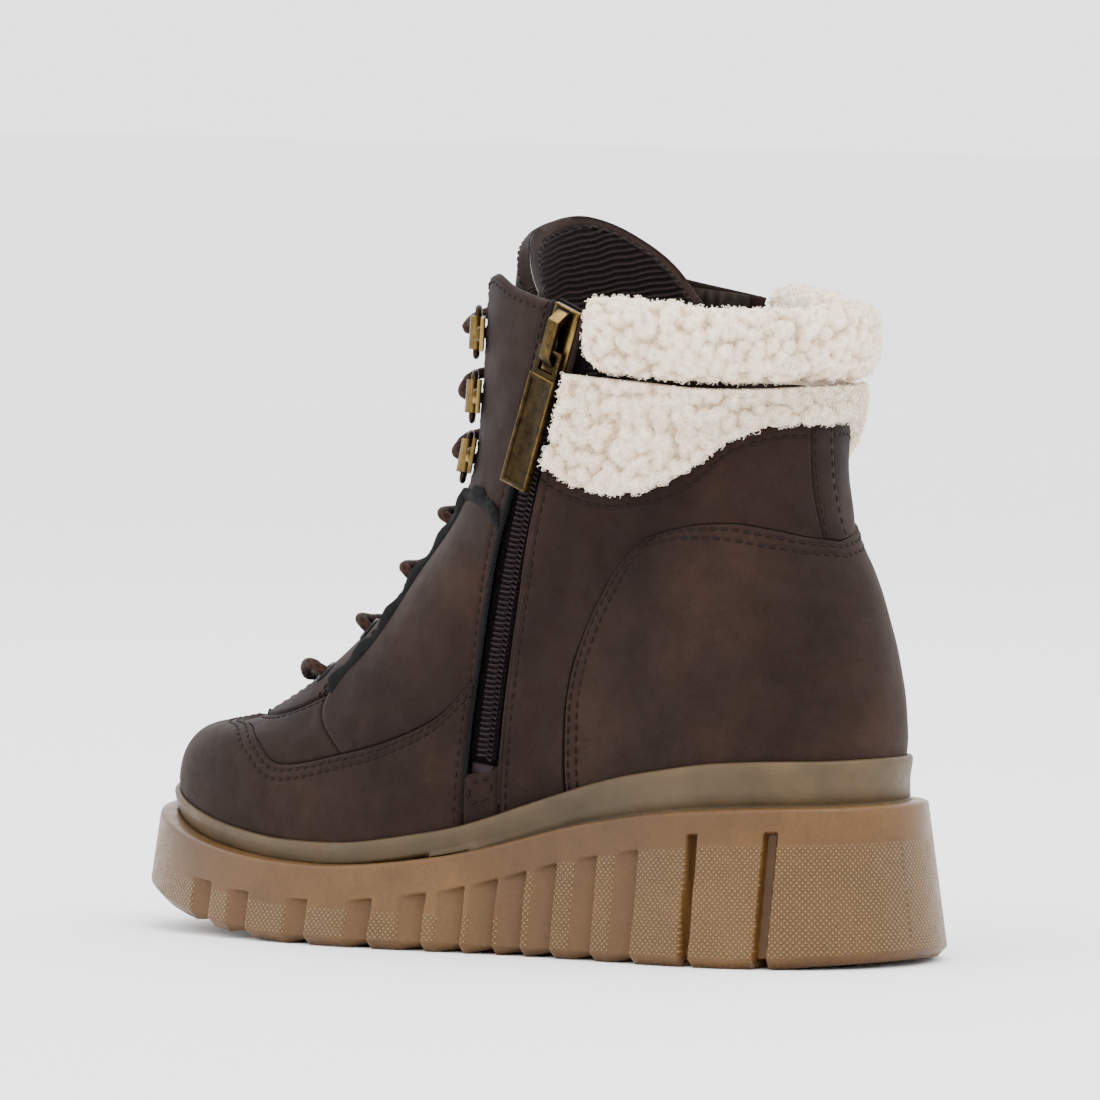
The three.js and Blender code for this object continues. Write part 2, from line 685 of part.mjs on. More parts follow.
const zipEnd = (s, side, ahead) => [s, Math.abs(zipSide(s, s, side, ahead)(0)[1])];

// Seams shared by two or more panels, for one side. Each panel takes its own part of the same curve.
function seams(side) {
  const tip = line([...TIP_LINE, ...ARCH_LINE.slice(1), zipEnd(ARCH_END, side, 1)]);
  const edge = line([ARCH_LINE[0], endOf(THROAT), ...EDGE_LINE]);
  return {
    tip,
    tipBreak: tip.at(TIP_LINE.length - 1),
    edge,
    edgeBreak: edge.at(1),
    arch: line([...FACING_ARCH, zipEnd(FACING_END, side, 1)]),
    sherpa: line([zipEnd(SHERPA_START, side, -1.15), ...SHERPA_LOW]),
    cuff: line([zipEnd(CUFF_START, side, -1.15), ...CUFF_LINE]),
  };
}

const medial = seams(SIDES.medial);
const lateral = seams(SIDES.lateral);
const seamsOf = (side) => (side > 0 ? medial : lateral);
const counter = line(COUNTER_LINE);
const throat = line(THROAT);

// A curve of each side, joined at the front centre: lateral end, centre, medial end.
const roundFront = (lateralCurve, medialCurve) => (t) => (
  t < 0.5 ? mirror(lateralCurve)(1 - 2 * t) : medialCurve(2 * t - 1));
const roundRear = (medialCurve, lateralCurve) => (t) => {
  if (t <= 0.5) return medialCurve(2 * t);
  const [s, phi] = lateralCurve(2 - 2 * t);
  return [s, 360 - phi];
};

// A curve on the form moved sideways by a distance, away from the panel on its left.
function beside(curve, distance) {
  const step = 0.01;
  return (t) => {
    const from = clamp(t, step, 1 - step);
    const [s, phi] = curve(t);
    const along = form(...curve(from + step)).sub(form(...curve(from - step))).normalize();
    const aside = along.cross(formFrame(s, phi).out).multiplyScalar(distance);
    const perPhi = form(s, phi + 1).sub(form(s, phi));
    const perS = form(s + step, phi).sub(form(s, phi)).divideScalar(step);
    return [s + aside.dot(perS) / perS.lengthSq(), phi + aside.dot(perPhi) / perPhi.lengthSq()];
  };
}

function toeMudguard() {
  const right = zipSide(0, ARCH_END, SIDES.medial, 1);
  const left = zipSide(0, ARCH_END, SIDES.lateral, 1);
  return panel({
    bottom: between(left(0), right(0)),
    top: roundFront(lateral.tip, medial.tip),
    left,
    right,
    across: 32,
    rise: 6,
    inner: 0,
    outer: OVERLAY,
  });
}

function vamp() {
  const foot = (seam) => part(seam.tip, 0, seam.tipBreak);
  return panel({
    bottom: roundFront(foot(lateral), foot(medial)),
    top: roundFront(throat, throat),
    left: mirror(part(lateral.edge, 0, lateral.edgeBreak)),
    right: part(medial.edge, 0, medial.edgeBreak),
    across: 24,
    rise: 4,
    inner: 0,
    outer: LEATHER,
  });
}

function quarter(side) {
  const seam = seamsOf(side);
  return panel({
    bottom: onSide(part(seam.tip, seam.tipBreak, 1), side),
    top: onSide(seam.arch, side),
    left: onSide(seam.edge, side),
    right: zipSide(ARCH_END, FACING_END, side, 1),
    across: 7,
    rise: 10,
    inner: 0,
    outer: LEATHER,
  });
}

function frontEdge(from, to, side) {
  const run = spline(FRONT_EDGE.map((point) => point[0]), FRONT_EDGE.map((point) => point[1]));
  return (t) => {
    const s = lerp(from, to, t);
    return [s, side * run(s)];
  };
}

function eyestay(side) {
  const seam = seamsOf(side);
  const right = onSide(part(seam.edge, seam.edgeBreak, 1), side);
  const left = frontEdge(THROAT[1][0], endOf(EDGE_LINE)[0], side);
  const corner = throat.at(1);
  const strip = panel({
    bottom: onSide(part(throat, corner, 1), side),
    top: between(left(1), right(1)),
    left,
    right,
    across: 4,
    rise: 10,
    inner: 0,
    outer: LEATHER,
  });
  const hole = EYELET_BORE / 2 + EYELET_WALL + LOOSE;
  return cut(strip, EYELET_ROWS.map(([s, phi]) => holeTool(s, side * phi, hole)));
}

function facing(side) {
  const seam = seamsOf(side);
  const left = frontEdge(FACING_ARCH[0][0], 1, side);
  const right = zipSide(FACING_END, 1, side, 1);
  const across = 8;
  const arch = onSide(seam.arch, side);
  return panel({
    bottom: chain(between(left(0), arch(0)), arch, 2 / across),
    top: between(left(1), right(1)),
    left,
    right,
    across,
    rise: 5,
    inner: 0,
    outer: LEATHER,
  });
}

// The quarter behind the zip goes down beside the counter and on over its top, so the upper seam is
// shared out between those two stretches.
function rearQuarter(side) {
  const { sherpa } = seamsOf(side);
  const left = zipSide(0, SHERPA_START, side, -1);
  const across = 24;
  const foot = 2 / across;
  const stripEdge = 180 - STRIP_HALF;
  const lowEnd = counter.whenPhi(stripEdge);
  const highEnd = sherpa.whenPhi(stripEdge);
  const highCorner = sherpa.whenPhi(COUNTER_LINE[COUNTER_CORNER][1] - 8);
  const corner = foot + ((1 - foot) * counter.at(COUNTER_CORNER)) / lowEnd;
  const low = beside(onSide(part(counter, 0, lowEnd), side), -side * SEAM * 0.3);
  const high = onSide(chain(part(sherpa, 0, highCorner), part(sherpa, highCorner, highEnd), corner), side);
  return panel({
    bottom: chain(between(left(0), low(0)), low, foot),
    top: high,
    left,
    right: between(low(1), high(1)),
    across,
    rise: 6,
    inner: 0,
    outer: LEATHER,
  });
}

function heelCounter() {
  const corner = counter.at(COUNTER_CORNER);
  const flank = part(counter, 0, corner);
  return panel({
    bottom: between([0, COUNTER_LINE[0][1]], [0, 360 - COUNTER_LINE[0][1]]),
    top: roundBack(part(counter, corner, 1)),
    left: flank,
    right: (t) => [flank(t)[0], 360 - flank(t)[1]],
    across: 20,
    rise: 9,
    inner: 0,
    outer: OVERLAY,
  });
}

function backStrip() {
  const [low, high] = [counter, medial.sherpa].map((curve) => {
    const from = curve.whenPhi(180 - STRIP_HALF);
    return roundBack(part(curve, from, 1));
  });
  return panel({
    bottom: low,
    top: high,
    left: between(low(0), high(0)),
    right: between(low(1), high(1)),
    across: 4,
    rise: 4,
    inner: 0,
    outer: OVERLAY,
  });
}

// ---- stiffeners and linings ----

function wrap(s0, s1, phi0, phi1, outer, thickness, across, rise) {
  return panel({
    bottom: [[s0, phi0], [s0, phi1]],
    top: [[s1, phi0], [s1, phi1]],
    left: [[s0, phi0], [s1, phi0]],
    right: [[s0, phi1], [s1, phi1]],
    across,
    rise,
    inner: outer - thickness,
    outer,
  });
}

const LINING_SPLIT = 0.4; // seam between vamp lining and quarter linings
const LINING_SLIT = 9; // half the opening in the lining behind the zip
const LINING_TURN = 84; // lateral seam between front and rear linings

function vampLining() {
  const right = zipLine(0, LINING_SPLIT, LINING_SLIT);
  return panel({
    bottom: between([0, -LINING_TURN], right(0)),
    top: between([LINING_SPLIT, -LINING_TURN], right(1)),
    left: [[0, -LINING_TURN], [LINING_SPLIT, -LINING_TURN]],
    right,
    across: 20,
    rise: 6,
    inner: LINING_TOP - LINING,
    outer: LINING_TOP,
  });
}

function quarterLining(side) {
  const back = side > 0
    ? zipLine(LINING_SPLIT, 1, LINING_SLIT)
    : (t) => [lerp(LINING_SPLIT, 1, t), -LINING_TURN];
  return panel({
    bottom: between([LINING_SPLIT, side * LINING_EDGE], back(0)),
    top: between([1, side * LINING_EDGE], back(1)),
    left: [[LINING_SPLIT, side * LINING_EDGE], [1, side * LINING_EDGE]],
    right: back,
    across: 6,
    rise: 6,
    inner: LINING_TOP - LINING,
    outer: LINING_TOP,
  });
}

function rearLining() {
  const gap = 0.02;
  const [near, far] = [medial, lateral].map(({ cuff }) => (t) => [cuff(t)[0] - gap, cuff(t)[1]]);
  const left = zipLine(0, near(0)[0], -LINING_SLIT);
  const right = between([0, 360 - LINING_TURN], [far(0)[0], 360 - LINING_TURN]);
  const top = roundRear(near, far);
  const shift = (t) => [0, lerp(left(1)[1] - top(0)[1], right(1)[1] - top(1)[1], t)];
  return panel({
    bottom: between(left(0), right(0)),
    top: (t) => [top(t)[0] + shift(t)[0], top(t)[1] + shift(t)[1]],
    left,
    right,
    across: 18,
    rise: 8,
    inner: LINING_TOP - LINING,
    outer: LINING_TOP,
  });
}

function zipGuard() {
  const reach = 12;
  const left = zipLine(0.03, 0.86, reach);
  const right = zipLine(0.03, 0.86, -reach);
  return panel({
    bottom: between(left(0), right(0)),
    top: between(left(1), right(1)),
    left,
    right,
    across: 4,
    rise: 10,
    inner: LINING_TOP - LINING - 2 * LOOSE - GUARD,
    outer: LINING_TOP - LINING - 2 * LOOSE,
  });
}

// ---- sherpa collar ----

function collarPanel() {
  const low = roundRear(medial.sherpa, lateral.sherpa);
  const high = roundRear(medial.cuff, lateral.cuff);
  return panel({
    bottom: low,
    top: high,
    left: between(low(0), high(0)),
    right: between(low(1), high(1)),
    across: 26,
    rise: 3,
    inner: 0.3,
    outer: SHERPA,
  });
}

// The turned cuff: a padded roll that stands on the top edges of panel, quarter and lining.
function collarCuff() {
  const cuffS = (phi) => medial.cuff(medial.cuff.whenPhi(phi))[0];
  const columns = [];
  const steps = 22;
  const reach = 180 - zipPhi(1, -(TAPE + 2 * LOOSE)) - 1;
  const arc = 6;
  for (let i = 0; i <= steps; i += 1) {
    const turn = lerp(-reach, reach, i / steps);
    const phi = 180 + turn;
    const s = cuffS(180 - Math.abs(turn));
    const foot = onForm(s, phi, 0);
    const out = formFrame(s, phi).out.setZ(0).normalize();
    const up = form(1, phi).sub(form(s, phi)).normalize();
    const spot = (side, t) => {
      const swell = Math.sin(Math.PI * lerp(0.12, 0.93, t)) ** 0.6;
      const reachOut = side > 0 ? CUFF_OUT : -CUFF_IN;
      return foot.clone().addScaledVector(out, 1.2 + (reachOut - 1.2) * swell)
        .addScaledVector(up, CUFF_RISE * (0.5 - 0.5 * Math.cos(Math.PI * t)) + 0.3);
    };
    const rows = Array.from({ length: arc }, (_, k) => k / (arc - 1));
    columns.push({ outer: rows.map((t) => spot(1, t)), inner: rows.map((t) => spot(-1, t)) });
  }
  return loft(columns);
}

// ---- tongue ----

const TONGUE_FOOT = 0.385; // where the tongue is sewn in
const TONGUE_PEAK = 1.05;
const TONGUE_HALF = 57; // degrees each side at the top
const TONGUE_NECK = 40;

function tongueLayer(outer, thickness) {
  const half = spline([TONGUE_FOOT, 0.7, 1], [TONGUE_NECK, 48, TONGUE_HALF]);
  const side = (sign) => (t) => {
    const s = lerp(TONGUE_FOOT, 1, t);
    return [s, sign * half(s)];
  };
  const top = [[1, -TONGUE_HALF], [TONGUE_PEAK - 0.015, -TONGUE_HALF * 0.6], [TONGUE_PEAK, 0],
    [TONGUE_PEAK - 0.015, TONGUE_HALF * 0.6], [1, TONGUE_HALF]];
  return panel({
    bottom: [[TONGUE_FOOT, -TONGUE_NECK], [TONGUE_FOOT, TONGUE_NECK]],
    top,
    left: side(-1),
    right: side(1),
    across: 12,
    rise: 9,
    inner: outer - thickness,
    outer,
  });
}

const foamTop = TONGUE_TOP - TONGUE_LEATHER - LOOSE;
const ribTop = foamTop - TONGUE_FOAM - LOOSE;

function tongueLoop() {
  const at = (s, lift) => onForm(s, 0, TONGUE_TOP + lift);
  const columns = [-4, 4].map((x) => {
    const lifts = [[0.985, 0.35], [0.99, 3], [1.0, 3.6], [1.01, 3], [1.015, 0.35]];
    const inside = [[0.988, 0.35], [0.992, 2.2], [1.0, 2.7], [1.008, 2.2], [1.012, 0.35]];
    const shift = (points) => points.map(([s, lift]) => at(s, lift).add(new THREE.Vector3(x, 0, 0)));
    return { outer: shift(lifts), inner: shift(inside) };
  });
  return loft(columns);
}

// ---- zip ----

const sliderCentre = zipTop - SLIDER_LENGTH / 2 + 1;
const pivotBelow = 3; // hinge of the pull below the slider's centre
const pivotOut = 2.9; // and above the coil side of its plate

// Places a piece drawn with x towards the heel, y up the zip and z outwards.
function placeOnZip(geometry, height, out) {
  const angle = zipAngle(height);
  const heelward = new THREE.Vector3(0, Math.cos(angle), -Math.sin(angle));
  const upward = new THREE.Vector3(0, Math.sin(angle), Math.cos(angle));
  const matrix = new THREE.Matrix4().makeBasis(heelward, upward, new THREE.Vector3(1, 0, 0));
  matrix.setPosition(zipPoint(angle, 0, COIL_TOP + out));
  return geometry.applyMatrix4(matrix);
}

function zipSlider() {
  const rail = SLIDER_WIDTH / 2 - COIL - 0.4;
  const railX = SLIDER_WIDTH / 2 - rail / 2;
  const outer = [[8.6, 0.5], [8.6, 3], [6, BRIDGE_HEIGHT], [-4.6, BRIDGE_HEIGHT], [-6.6, 3.6], [-6.6, 0.5]];
  const shape = new THREE.Shape(outer.map(([x, y]) => new THREE.Vector2(x, y)));
  const window = [[-5.2, PLATE + 0.1], [-5.2, 3.4], [-4.3, 4.4], [4.6, 4.4], [5.8, PLATE + 0.1]];
  shape.holes.push(new THREE.Path(window.map(([x, y]) => new THREE.Vector2(x, y))));
  const bridge = new THREE.ExtrudeGeometry(shape, { depth: BRIDGE_WIDTH, bevelEnabled: false });
  bridge.translate(0, 0, -BRIDGE_WIDTH / 2);
  // the side view's length runs up the zip and its height outwards
  const turned = new THREE.Matrix4().makeBasis(
    new THREE.Vector3(0, 1, 0), new THREE.Vector3(0, 0, 1), new THREE.Vector3(1, 0, 0));
  bridge.applyMatrix4(turned);
  const parts = [
    box(SLIDER_WIDTH, SLIDER_LENGTH, PLATE, 0, 0, PLATE / 2),
    bridge,
    box(rail, SLIDER_LENGTH - 2, 1.2, railX, 0, -0.5),
    box(rail, SLIDER_LENGTH - 2, 1.2, -railX, 0, -0.5),
  ];
  return placeOnZip(join(parts), sliderCentre, 0.35);
}

function zipPuller() {
  const inner = BRIDGE_WIDTH / 2 + 0.9;
  const side = inner + LINK_WIRE / 2;
  const bottom = -7;
  const y = -pivotBelow;
  const z = pivotOut;
  const tabTop = y + bottom;
  const tabY = tabTop - PULL_LENGTH / 2;
  const parts = [
    box(2 * side + LINK_WIRE, LINK_WIRE, LINK_WIRE, 0, y, z),
    box(LINK_WIRE, -bottom, LINK_WIRE, side, y + bottom / 2, z),
    box(LINK_WIRE, -bottom, LINK_WIRE, -side, y + bottom / 2, z),
    box(2 * side + LINK_WIRE, LINK_WIRE * 1.6, LINK_WIRE, 0, tabTop, z),
    box(PULL_WIDTH, PULL_LENGTH, PULL_THICK, 0, tabY, z + 0.2),
  ];
  const face = box(PULL_WIDTH - 2.4, PULL_LENGTH - 3, 1, 0, tabY, z + 0.2 + PULL_THICK / 2);
  return placeOnZip(cut(join(parts), [face]), sliderCentre, 0.35);
}

function bottomStop() {
  const stop = box(2 * COIL + 1, 3, COIL_HEIGHT + 0.3, 0, 0, -COIL_HEIGHT / 2);
  return placeOnZip(stop, ZIP_BOTTOM - 3, 0.1);
}

// ---- lacing ----

// Places a piece drawn with x round the foot, y up and z outwards.
function placeOnForm(geometry, s, phi, lift) {
  const { round, out } = formFrame(s, phi);
  const up = out.clone().cross(round).normalize();
  const matrix = new THREE.Matrix4().makeBasis(round, up, out);
  matrix.setPosition(onForm(s, phi, lift));
  return geometry.applyMatrix4(matrix);
}

function holeTool(s, phi, radius) {
  const tool = new THREE.CylinderGeometry(radius, radius, 12, 10).rotateX(Math.PI / 2);
  return placeOnForm(tool, s, phi, 0);
}

function eyelet(s, phi) {
  const bore = EYELET_BORE / 2;
  const under = LEATHER + LOOSE;
  const flange = 0.7;
  const profile = [[bore, -0.2], [bore + EYELET_WALL, -0.2], [bore + EYELET_WALL, under],
    [EYELET_FLANGE / 2, under], [EYELET_FLANGE / 2, under + flange], [bore, under + flange], [bore, -0.2]];
  const ring = new THREE.LatheGeometry(profile.map(([r, z]) => new THREE.Vector2(r, z)), 10);
  return placeOnForm(ring.rotateX(Math.PI / 2), s, phi, 0);
}

// Distance of a clip's barrel from the form, and the ring's plane with it.
const barrelLift = LEATHER + LOOSE + BARREL / 2;

function ringClip(s, phi, side) {
  const barrel = pipe(BARREL / 2, WIRE / 2 + 0.35, BARREL_TALL, 12).rotateX(Math.PI / 2);
  const behind = side * (CLIP_WIDTH / 2 + WIRE / 2 + 0.5);
  const plate = box(CLIP_WIDTH, BARREL_TALL, 1, behind, 0, -BARREL / 2 + 0.5);
  const rivet = new THREE.CylinderGeometry(1.8, 2.3, 1.3, 12).rotateX(Math.PI / 2);
  rivet.translate(side * (CLIP_WIDTH * 0.62 + 1), 0, -BARREL / 2 + 1.4);
  return placeOnForm(join([barrel, plate, rivet]), s, phi, barrelLift);
}

function laceRing(s, phi, side) {
  const half = RING_TALL / 2 - WIRE / 2;
  const reach = RING_REACH - WIRE / 2;
  const path = [[0, -half], [0, 0], [0, half], [0.25, half + 0.9], [0.6, half], [0.93, half * 0.6], [1, 0],
    [0.93, -half * 0.6], [0.6, -half], [0.25, -half - 0.9]];
  const points = path.map(([x, y]) => new THREE.Vector3(-side * x * reach, y, 0));
  return placeOnForm(bar(points, WIRE, 6, true), s, phi, barrelLift);
}

// One side's holes for the lace, from the bottom up. A ring's hole lies in front of its barrel.
// leave is the angle where the lace passes over the edge in front of the hole, at the height over.
const RING_HOLE = 4.7; // from the barrel to the middle of the ring
const RING_BOW = 8.5; // from the barrel to just past the front of the ring
const degreesFor = (s, phi, reach) => reach / form(s, phi + 0.5).distanceTo(form(s, phi - 0.5));
const overLeather = LEATHER + LACE / 2 + 0.7;
const overFlange = LEATHER + LOOSE + 0.7 + LACE / 2 + 0.6;
const overRing = barrelLift + WIRE / 2 + LACE / 2 + 0.8;
const laceHoles = [
  ...EYELET_ROWS.map(([s, phi]) => (
    { s, phi, leave: 0.6 * phi, over: overFlange, edge: overLeather, under: -LACE / 2 - 0.9 })),
  ...RING_ROWS.map(([s, phi]) => (
    {
      s,
      phi: phi - degreesFor(s, phi, RING_HOLE),
      leave: phi - degreesFor(s, phi, RING_BOW),
      over: overRing,
      edge: overRing,
      under: 0.4,
    })),
];

// The lace goes up through each hole, over the tongue and under the other side to the next hole up.
function laceHalf(start, centreLift) {
  const route = [];
  const put = (s, phi, lift) => route.push(onForm(s, phi, lift));
  const first = laceHoles[0];
  put(first.s - 0.012, start * first.phi * 0.55, first.over);
  put(first.s - 0.002, start * (first.phi - 0.8), first.over);
  put(first.s, start * first.phi, 1.4);
  put(first.s + 0.002, start * (first.phi - 0.5), first.under);
  for (let k = 1; k < laceHoles.length; k += 1) {
    const side = start * (k % 2 ? -1 : 1);
    const from = laceHoles[k - 1];
    const to = laceHoles[k];
    const s = (from.s + to.s) / 2;
    put(lerp(from.s, s, 0.4), -side * from.leave, k === 1 ? -2.3 : from.edge);
    put(s, 0, centreLift);
    put(lerp(s, to.s, 0.5), side * to.phi * 0.55, Math.min(to.under, centreLift - 0.6));
    put(to.s - 0.002, side * (to.phi - 0.5), to.under);
    put(to.s, side * to.phi, lerp(to.under, to.over, 0.5));
    put(to.s + 0.002, side * (to.phi - 0.8), to.over);
  }
  const top = laceHoles[laceHoles.length - 1];
  const side = start * (laceHoles.length % 2 ? 1 : -1);
  put(top.s + 0.006, side * top.leave, top.edge);
  put(top.s + 0.016, 0, centreLift);
  put(top.s + 0.016, -side * 15, -2.4);
  put(top.s + 0.012, -side * 33, -2.4);
  return route;
}

function lace() {
  const medial = laceHalf(1, 3.2);
  const lateral = laceHalf(-1, -1.3);
  return bar([...medial.reverse(), ...lateral], LACE, 6);
}

// ---- assembly ----

function buildSole() {
  add('outsole', 'gum', outsole());
  add('foxing_band', 'band', foxingBand());
  add('sole_filler', 'foam', soleFiller());
  add('shank', 'steel', shank());
  add('insole_board', 'board', solePlate(5.4, boardBase, boardTop));
  const bedBase = (phi) => boardTop(phi) + LOOSE;
  add('footbed', 'felt', solePlate(6.4, bedBase, (phi) => bedBase(phi) + FOOTBED));
}

function buildUpper() {
  add('toe_mudguard', 'nubuck_light', toeMudguard());
  add('vamp', 'nubuck', vamp());
  for (const [name, side] of Object.entries(SIDES)) {
    add(`quarter_${name}`, 'nubuck', quarter(side));
    add(`rear_quarter_${name}`, 'nubuck', rearQuarter(side));
    add(`eyestay_${name}`, 'nubuck', eyestay(side));
    add(`facing_${name}`, 'nubuck', facing(side));
    add(`quarter_lining_${name}`, 'felt', quarterLining(side));
  }
  add('heel_counter', 'nubuck_light', heelCounter());
  add('back_strip', 'nubuck', backStrip());
  add('toe_puff', 'board', wrap(0.03, 0.19, -60, 60, STIFFENER_TOP, STIFFENER, 24, 4));
  add('heel_stiffener', 'board', wrap(0.03, 0.42, 118, 242, STIFFENER_TOP, STIFFENER, 14, 4));
  add('vamp_lining', 'felt', vampLining());
  add('rear_lining', 'felt', rearLining());
  add('collar_panel', 'sherpa', collarPanel());
  add('collar_cuff', 'sherpa', collarCuff());
  add('tongue_face', 'nubuck', tongueLayer(TONGUE_TOP, TONGUE_LEATHER));
  add('tongue_foam', 'foam', tongueLayer(foamTop, TONGUE_FOAM));
  add('tongue_lining', 'rib', tongueLayer(ribTop, TONGUE_LINING));
  add('tongue_loop', 'black', tongueLoop());
}

function buildZip() {
  const gap = 0.15; // from the centre line to each coil
  const low = ZIP_BOTTOM;
  add('zip_tape_front', 'tape', zipStrip(low - 6, zipTop, gap, TAPE, TAPE_X, TAPE_X + TAPE_THICK, 14));
  add('zip_tape_rear', 'tape', zipStrip(low - 6, zipTop, -TAPE, -gap, TAPE_X, TAPE_X + TAPE_THICK, 14));
  add('zip_coil_front', 'tape', zipStrip(low, zipTop, gap, COIL, COIL_X, COIL_TOP, 20));
  add('zip_coil_rear', 'tape', zipStrip(low, zipTop, -COIL, -gap, COIL_X, COIL_TOP, 20));
  add('zip_slider', 'brass', zipSlider());
  add('zip_puller', 'brass', zipPuller());
  add('zip_bottom_stop', 'brass', bottomStop());
  add('zip_guard', 'felt', zipGuard());
}

function buildLacing() {
  for (const [name, side] of Object.entries(SIDES)) {
    EYELET_ROWS.forEach(([s, phi], row) => {
      add(`eyelet_${name}_${row + 1}`, 'black', eyelet(s, side * phi));
    });
    RING_ROWS.forEach(([s, phi], row) => {
      add(`ring_clip_${name}_${row + 1}`, 'brass', ringClip(s, side * phi, side));
      add(`lace_ring_${name}_${row + 1}`, 'brass', laceRing(s, side * phi, side));
    });
  }
  add('lace', 'lace', lace());
}

buildSole();
buildUpper();
buildZip();
buildLacing();

// The origin is under the middle of the boot's box, whose plan is the outsole's.
const sole = boot.getObjectByName('outsole').geometry;
sole.computeBoundingBox();
const middle = sole.boundingBox.getCenter(new THREE.Vector3());
boot.position.set(-middle.x, -middle.y, 0);
const group = new THREE.Group();
group.add(boot);

export default group;
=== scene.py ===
"""Looks of the winter ankle boot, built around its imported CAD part.

Pieces are drawn in millimetres on the same surface as the CAD, form(s, phi), and stored in metres.
s runs from the feather line (0) to the top edge (1); phi is 0 at the toe, + medial, 180 at the heel.
"""
import json
import math

import bpy
import numpy as np
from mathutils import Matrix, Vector
from mathutils.kdtree import KDTree

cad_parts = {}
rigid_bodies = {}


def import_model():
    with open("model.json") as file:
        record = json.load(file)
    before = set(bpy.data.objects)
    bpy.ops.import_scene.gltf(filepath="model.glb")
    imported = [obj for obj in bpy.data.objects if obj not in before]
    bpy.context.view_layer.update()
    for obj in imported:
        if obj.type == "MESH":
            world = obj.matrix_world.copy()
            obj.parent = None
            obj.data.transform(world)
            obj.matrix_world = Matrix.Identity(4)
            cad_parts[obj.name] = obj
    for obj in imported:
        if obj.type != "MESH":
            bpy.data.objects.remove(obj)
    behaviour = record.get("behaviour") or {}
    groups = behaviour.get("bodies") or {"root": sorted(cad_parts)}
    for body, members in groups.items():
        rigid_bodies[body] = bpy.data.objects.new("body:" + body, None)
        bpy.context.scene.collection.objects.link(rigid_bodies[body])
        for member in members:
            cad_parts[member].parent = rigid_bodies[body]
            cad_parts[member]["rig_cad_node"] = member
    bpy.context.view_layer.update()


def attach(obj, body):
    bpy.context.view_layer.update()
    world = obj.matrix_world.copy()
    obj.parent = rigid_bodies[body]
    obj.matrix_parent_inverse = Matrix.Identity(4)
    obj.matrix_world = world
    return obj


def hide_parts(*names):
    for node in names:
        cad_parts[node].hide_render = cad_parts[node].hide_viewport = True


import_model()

MM = 0.001
SHIFT = np.array([1.973, 0.316, 0.0])  # from the last's own coordinates to the frame's

# ---- sizes shared with the CAD part ----
LEATHER, OVERLAY = 1.6, 2.4
LINING_TOP, LINING = -2.2, 2.1
TONGUE_TOP, TONGUE_THICK = -5.6, 5.6
SHERPA = 5.2
TOE_SEAT, HEEL_SEAT = 31.0, 47.0
LEDGE_OUT, WALL_TOE, WALL_HEEL = 9.0, 11.5, 14.0
TOE_SPRING, HEEL_LIFT, BEVEL = 15.5, 2.5, 2.5
BAND, BAND_HEIGHT, BAND_SET = 1.8, 9.0, 3.0
SLIT, TAPE, COIL, COIL_HEIGHT, ZIP_BOTTOM = 5.2, 7.6, 3.1, 3.0, 52.0
LACE = 3.0
RING_WIRE = 1.8

# s, front [y, height], back [y, height], half widths at phi 0 36 72 108 144 180: medial, lateral
SECTIONS = [
    (0.0, (-115.5, 0), (113.1, 0), (58, 50, 43.5, 32, 44, 56), (56, 50, 47, 40, 46, 54)),
    (0.12, (-118.5, 11), (115.3, 13), (62, 54, 46, 35, 46, 58), (58, 53, 50, 43, 48, 56)),
    (0.24, (-111.7, 22), (113, 31), (62, 54, 45.5, 36.5, 46, 56), (58, 53, 49, 42, 47, 55)),
    (0.36, (-92.2, 27), (107.6, 50), (54, 49, 42.5, 37, 43, 51), (52, 49, 45, 39, 43, 50)),
    (0.5, (-65.8, 41), (100, 66), (44, 44, 41, 37, 40, 45), (44, 44, 41, 37, 39, 45)),
    (0.64, (-40.8, 62), (96, 80), (38, 41.5, 40.5, 37.5, 39, 43), (38, 41.5, 39.5, 37, 39, 43)),
    (0.82, (-16.9, 93), (95.4, 100), (37, 39.5, 39.2, 38, 38.5, 41), (37, 39.5, 39, 38, 38.5, 41)),
    (1.0, (-9.4, 149), (97.9, 121), (37, 40, 39.7, 39, 39, 41), (37, 40, 39.7, 39, 39, 41)),
]
DIP_Y = (-115.5, -98, -78, -40, -3, 45, 92, 113)
DIP = (0, -7.9, -13.2, -17.3, -14.3, -3.7, 0.7, 0)
LEDGE_Y = (-115.5, -90, -50, -10, 40, 88, 113)
LEDGE_STEP = (2.5, 2, 2.2, 1, -2.3, -3.8, -4)
TOE_LEAN = 6

TIP_LINE = [(0.3, 0), (0.318, 20), (0.319, 34), (0.262, 50), (0.222, 58), (0.24, 71)]
ARCH_LINE = [(0.24, 71), (0.25, 77), (0.278, 85)]
ARCH_END = 0.356
THROAT = [(0.36, 0), (0.364, 22), (0.37, 46), (0.4, 53)]
EDGE_LINE = [(0.45, 50.5), (0.52, 50.5), (0.6, 45), (0.66, 40), (0.72, 38.5), (0.79, 42)]
FACING_ARCH = [(0.79, 42), (0.785, 52), (0.76, 64)]
FACING_END = 0.706
COUNTER_LINE = [(0, 108), (0.18, 108.5), (0.36, 110), (0.46, 113), (0.54, 117), (0.585, 122.5),
                (0.592, 131), (0.575, 145), (0.535, 158), (0.505, 168), (0.486, 180)]
SHERPA_START = 0.8
SHERPA_LOW = [(0.75, 98), (0.71, 111), (0.7, 123), (0.73, 133), (0.775, 142), (0.792, 157), (0.785, 180)]
CUFF_START = 0.92
CUFF_LINE = [(0.905, 114), (0.888, 133), (0.877, 155), (0.875, 180)]
ZIP_POINTS = [(0.12, 95), (0.5, 90.3), (1, 88)]
STRIP_HALF = 6
FRONT_EDGE = [(0.36, 22), (0.6, 24), (0.8, 30), (1, 30)]
EYELET_ROWS = [(0.46, 37), (0.55, 36), (0.65, 34.5), (0.755, 33)]
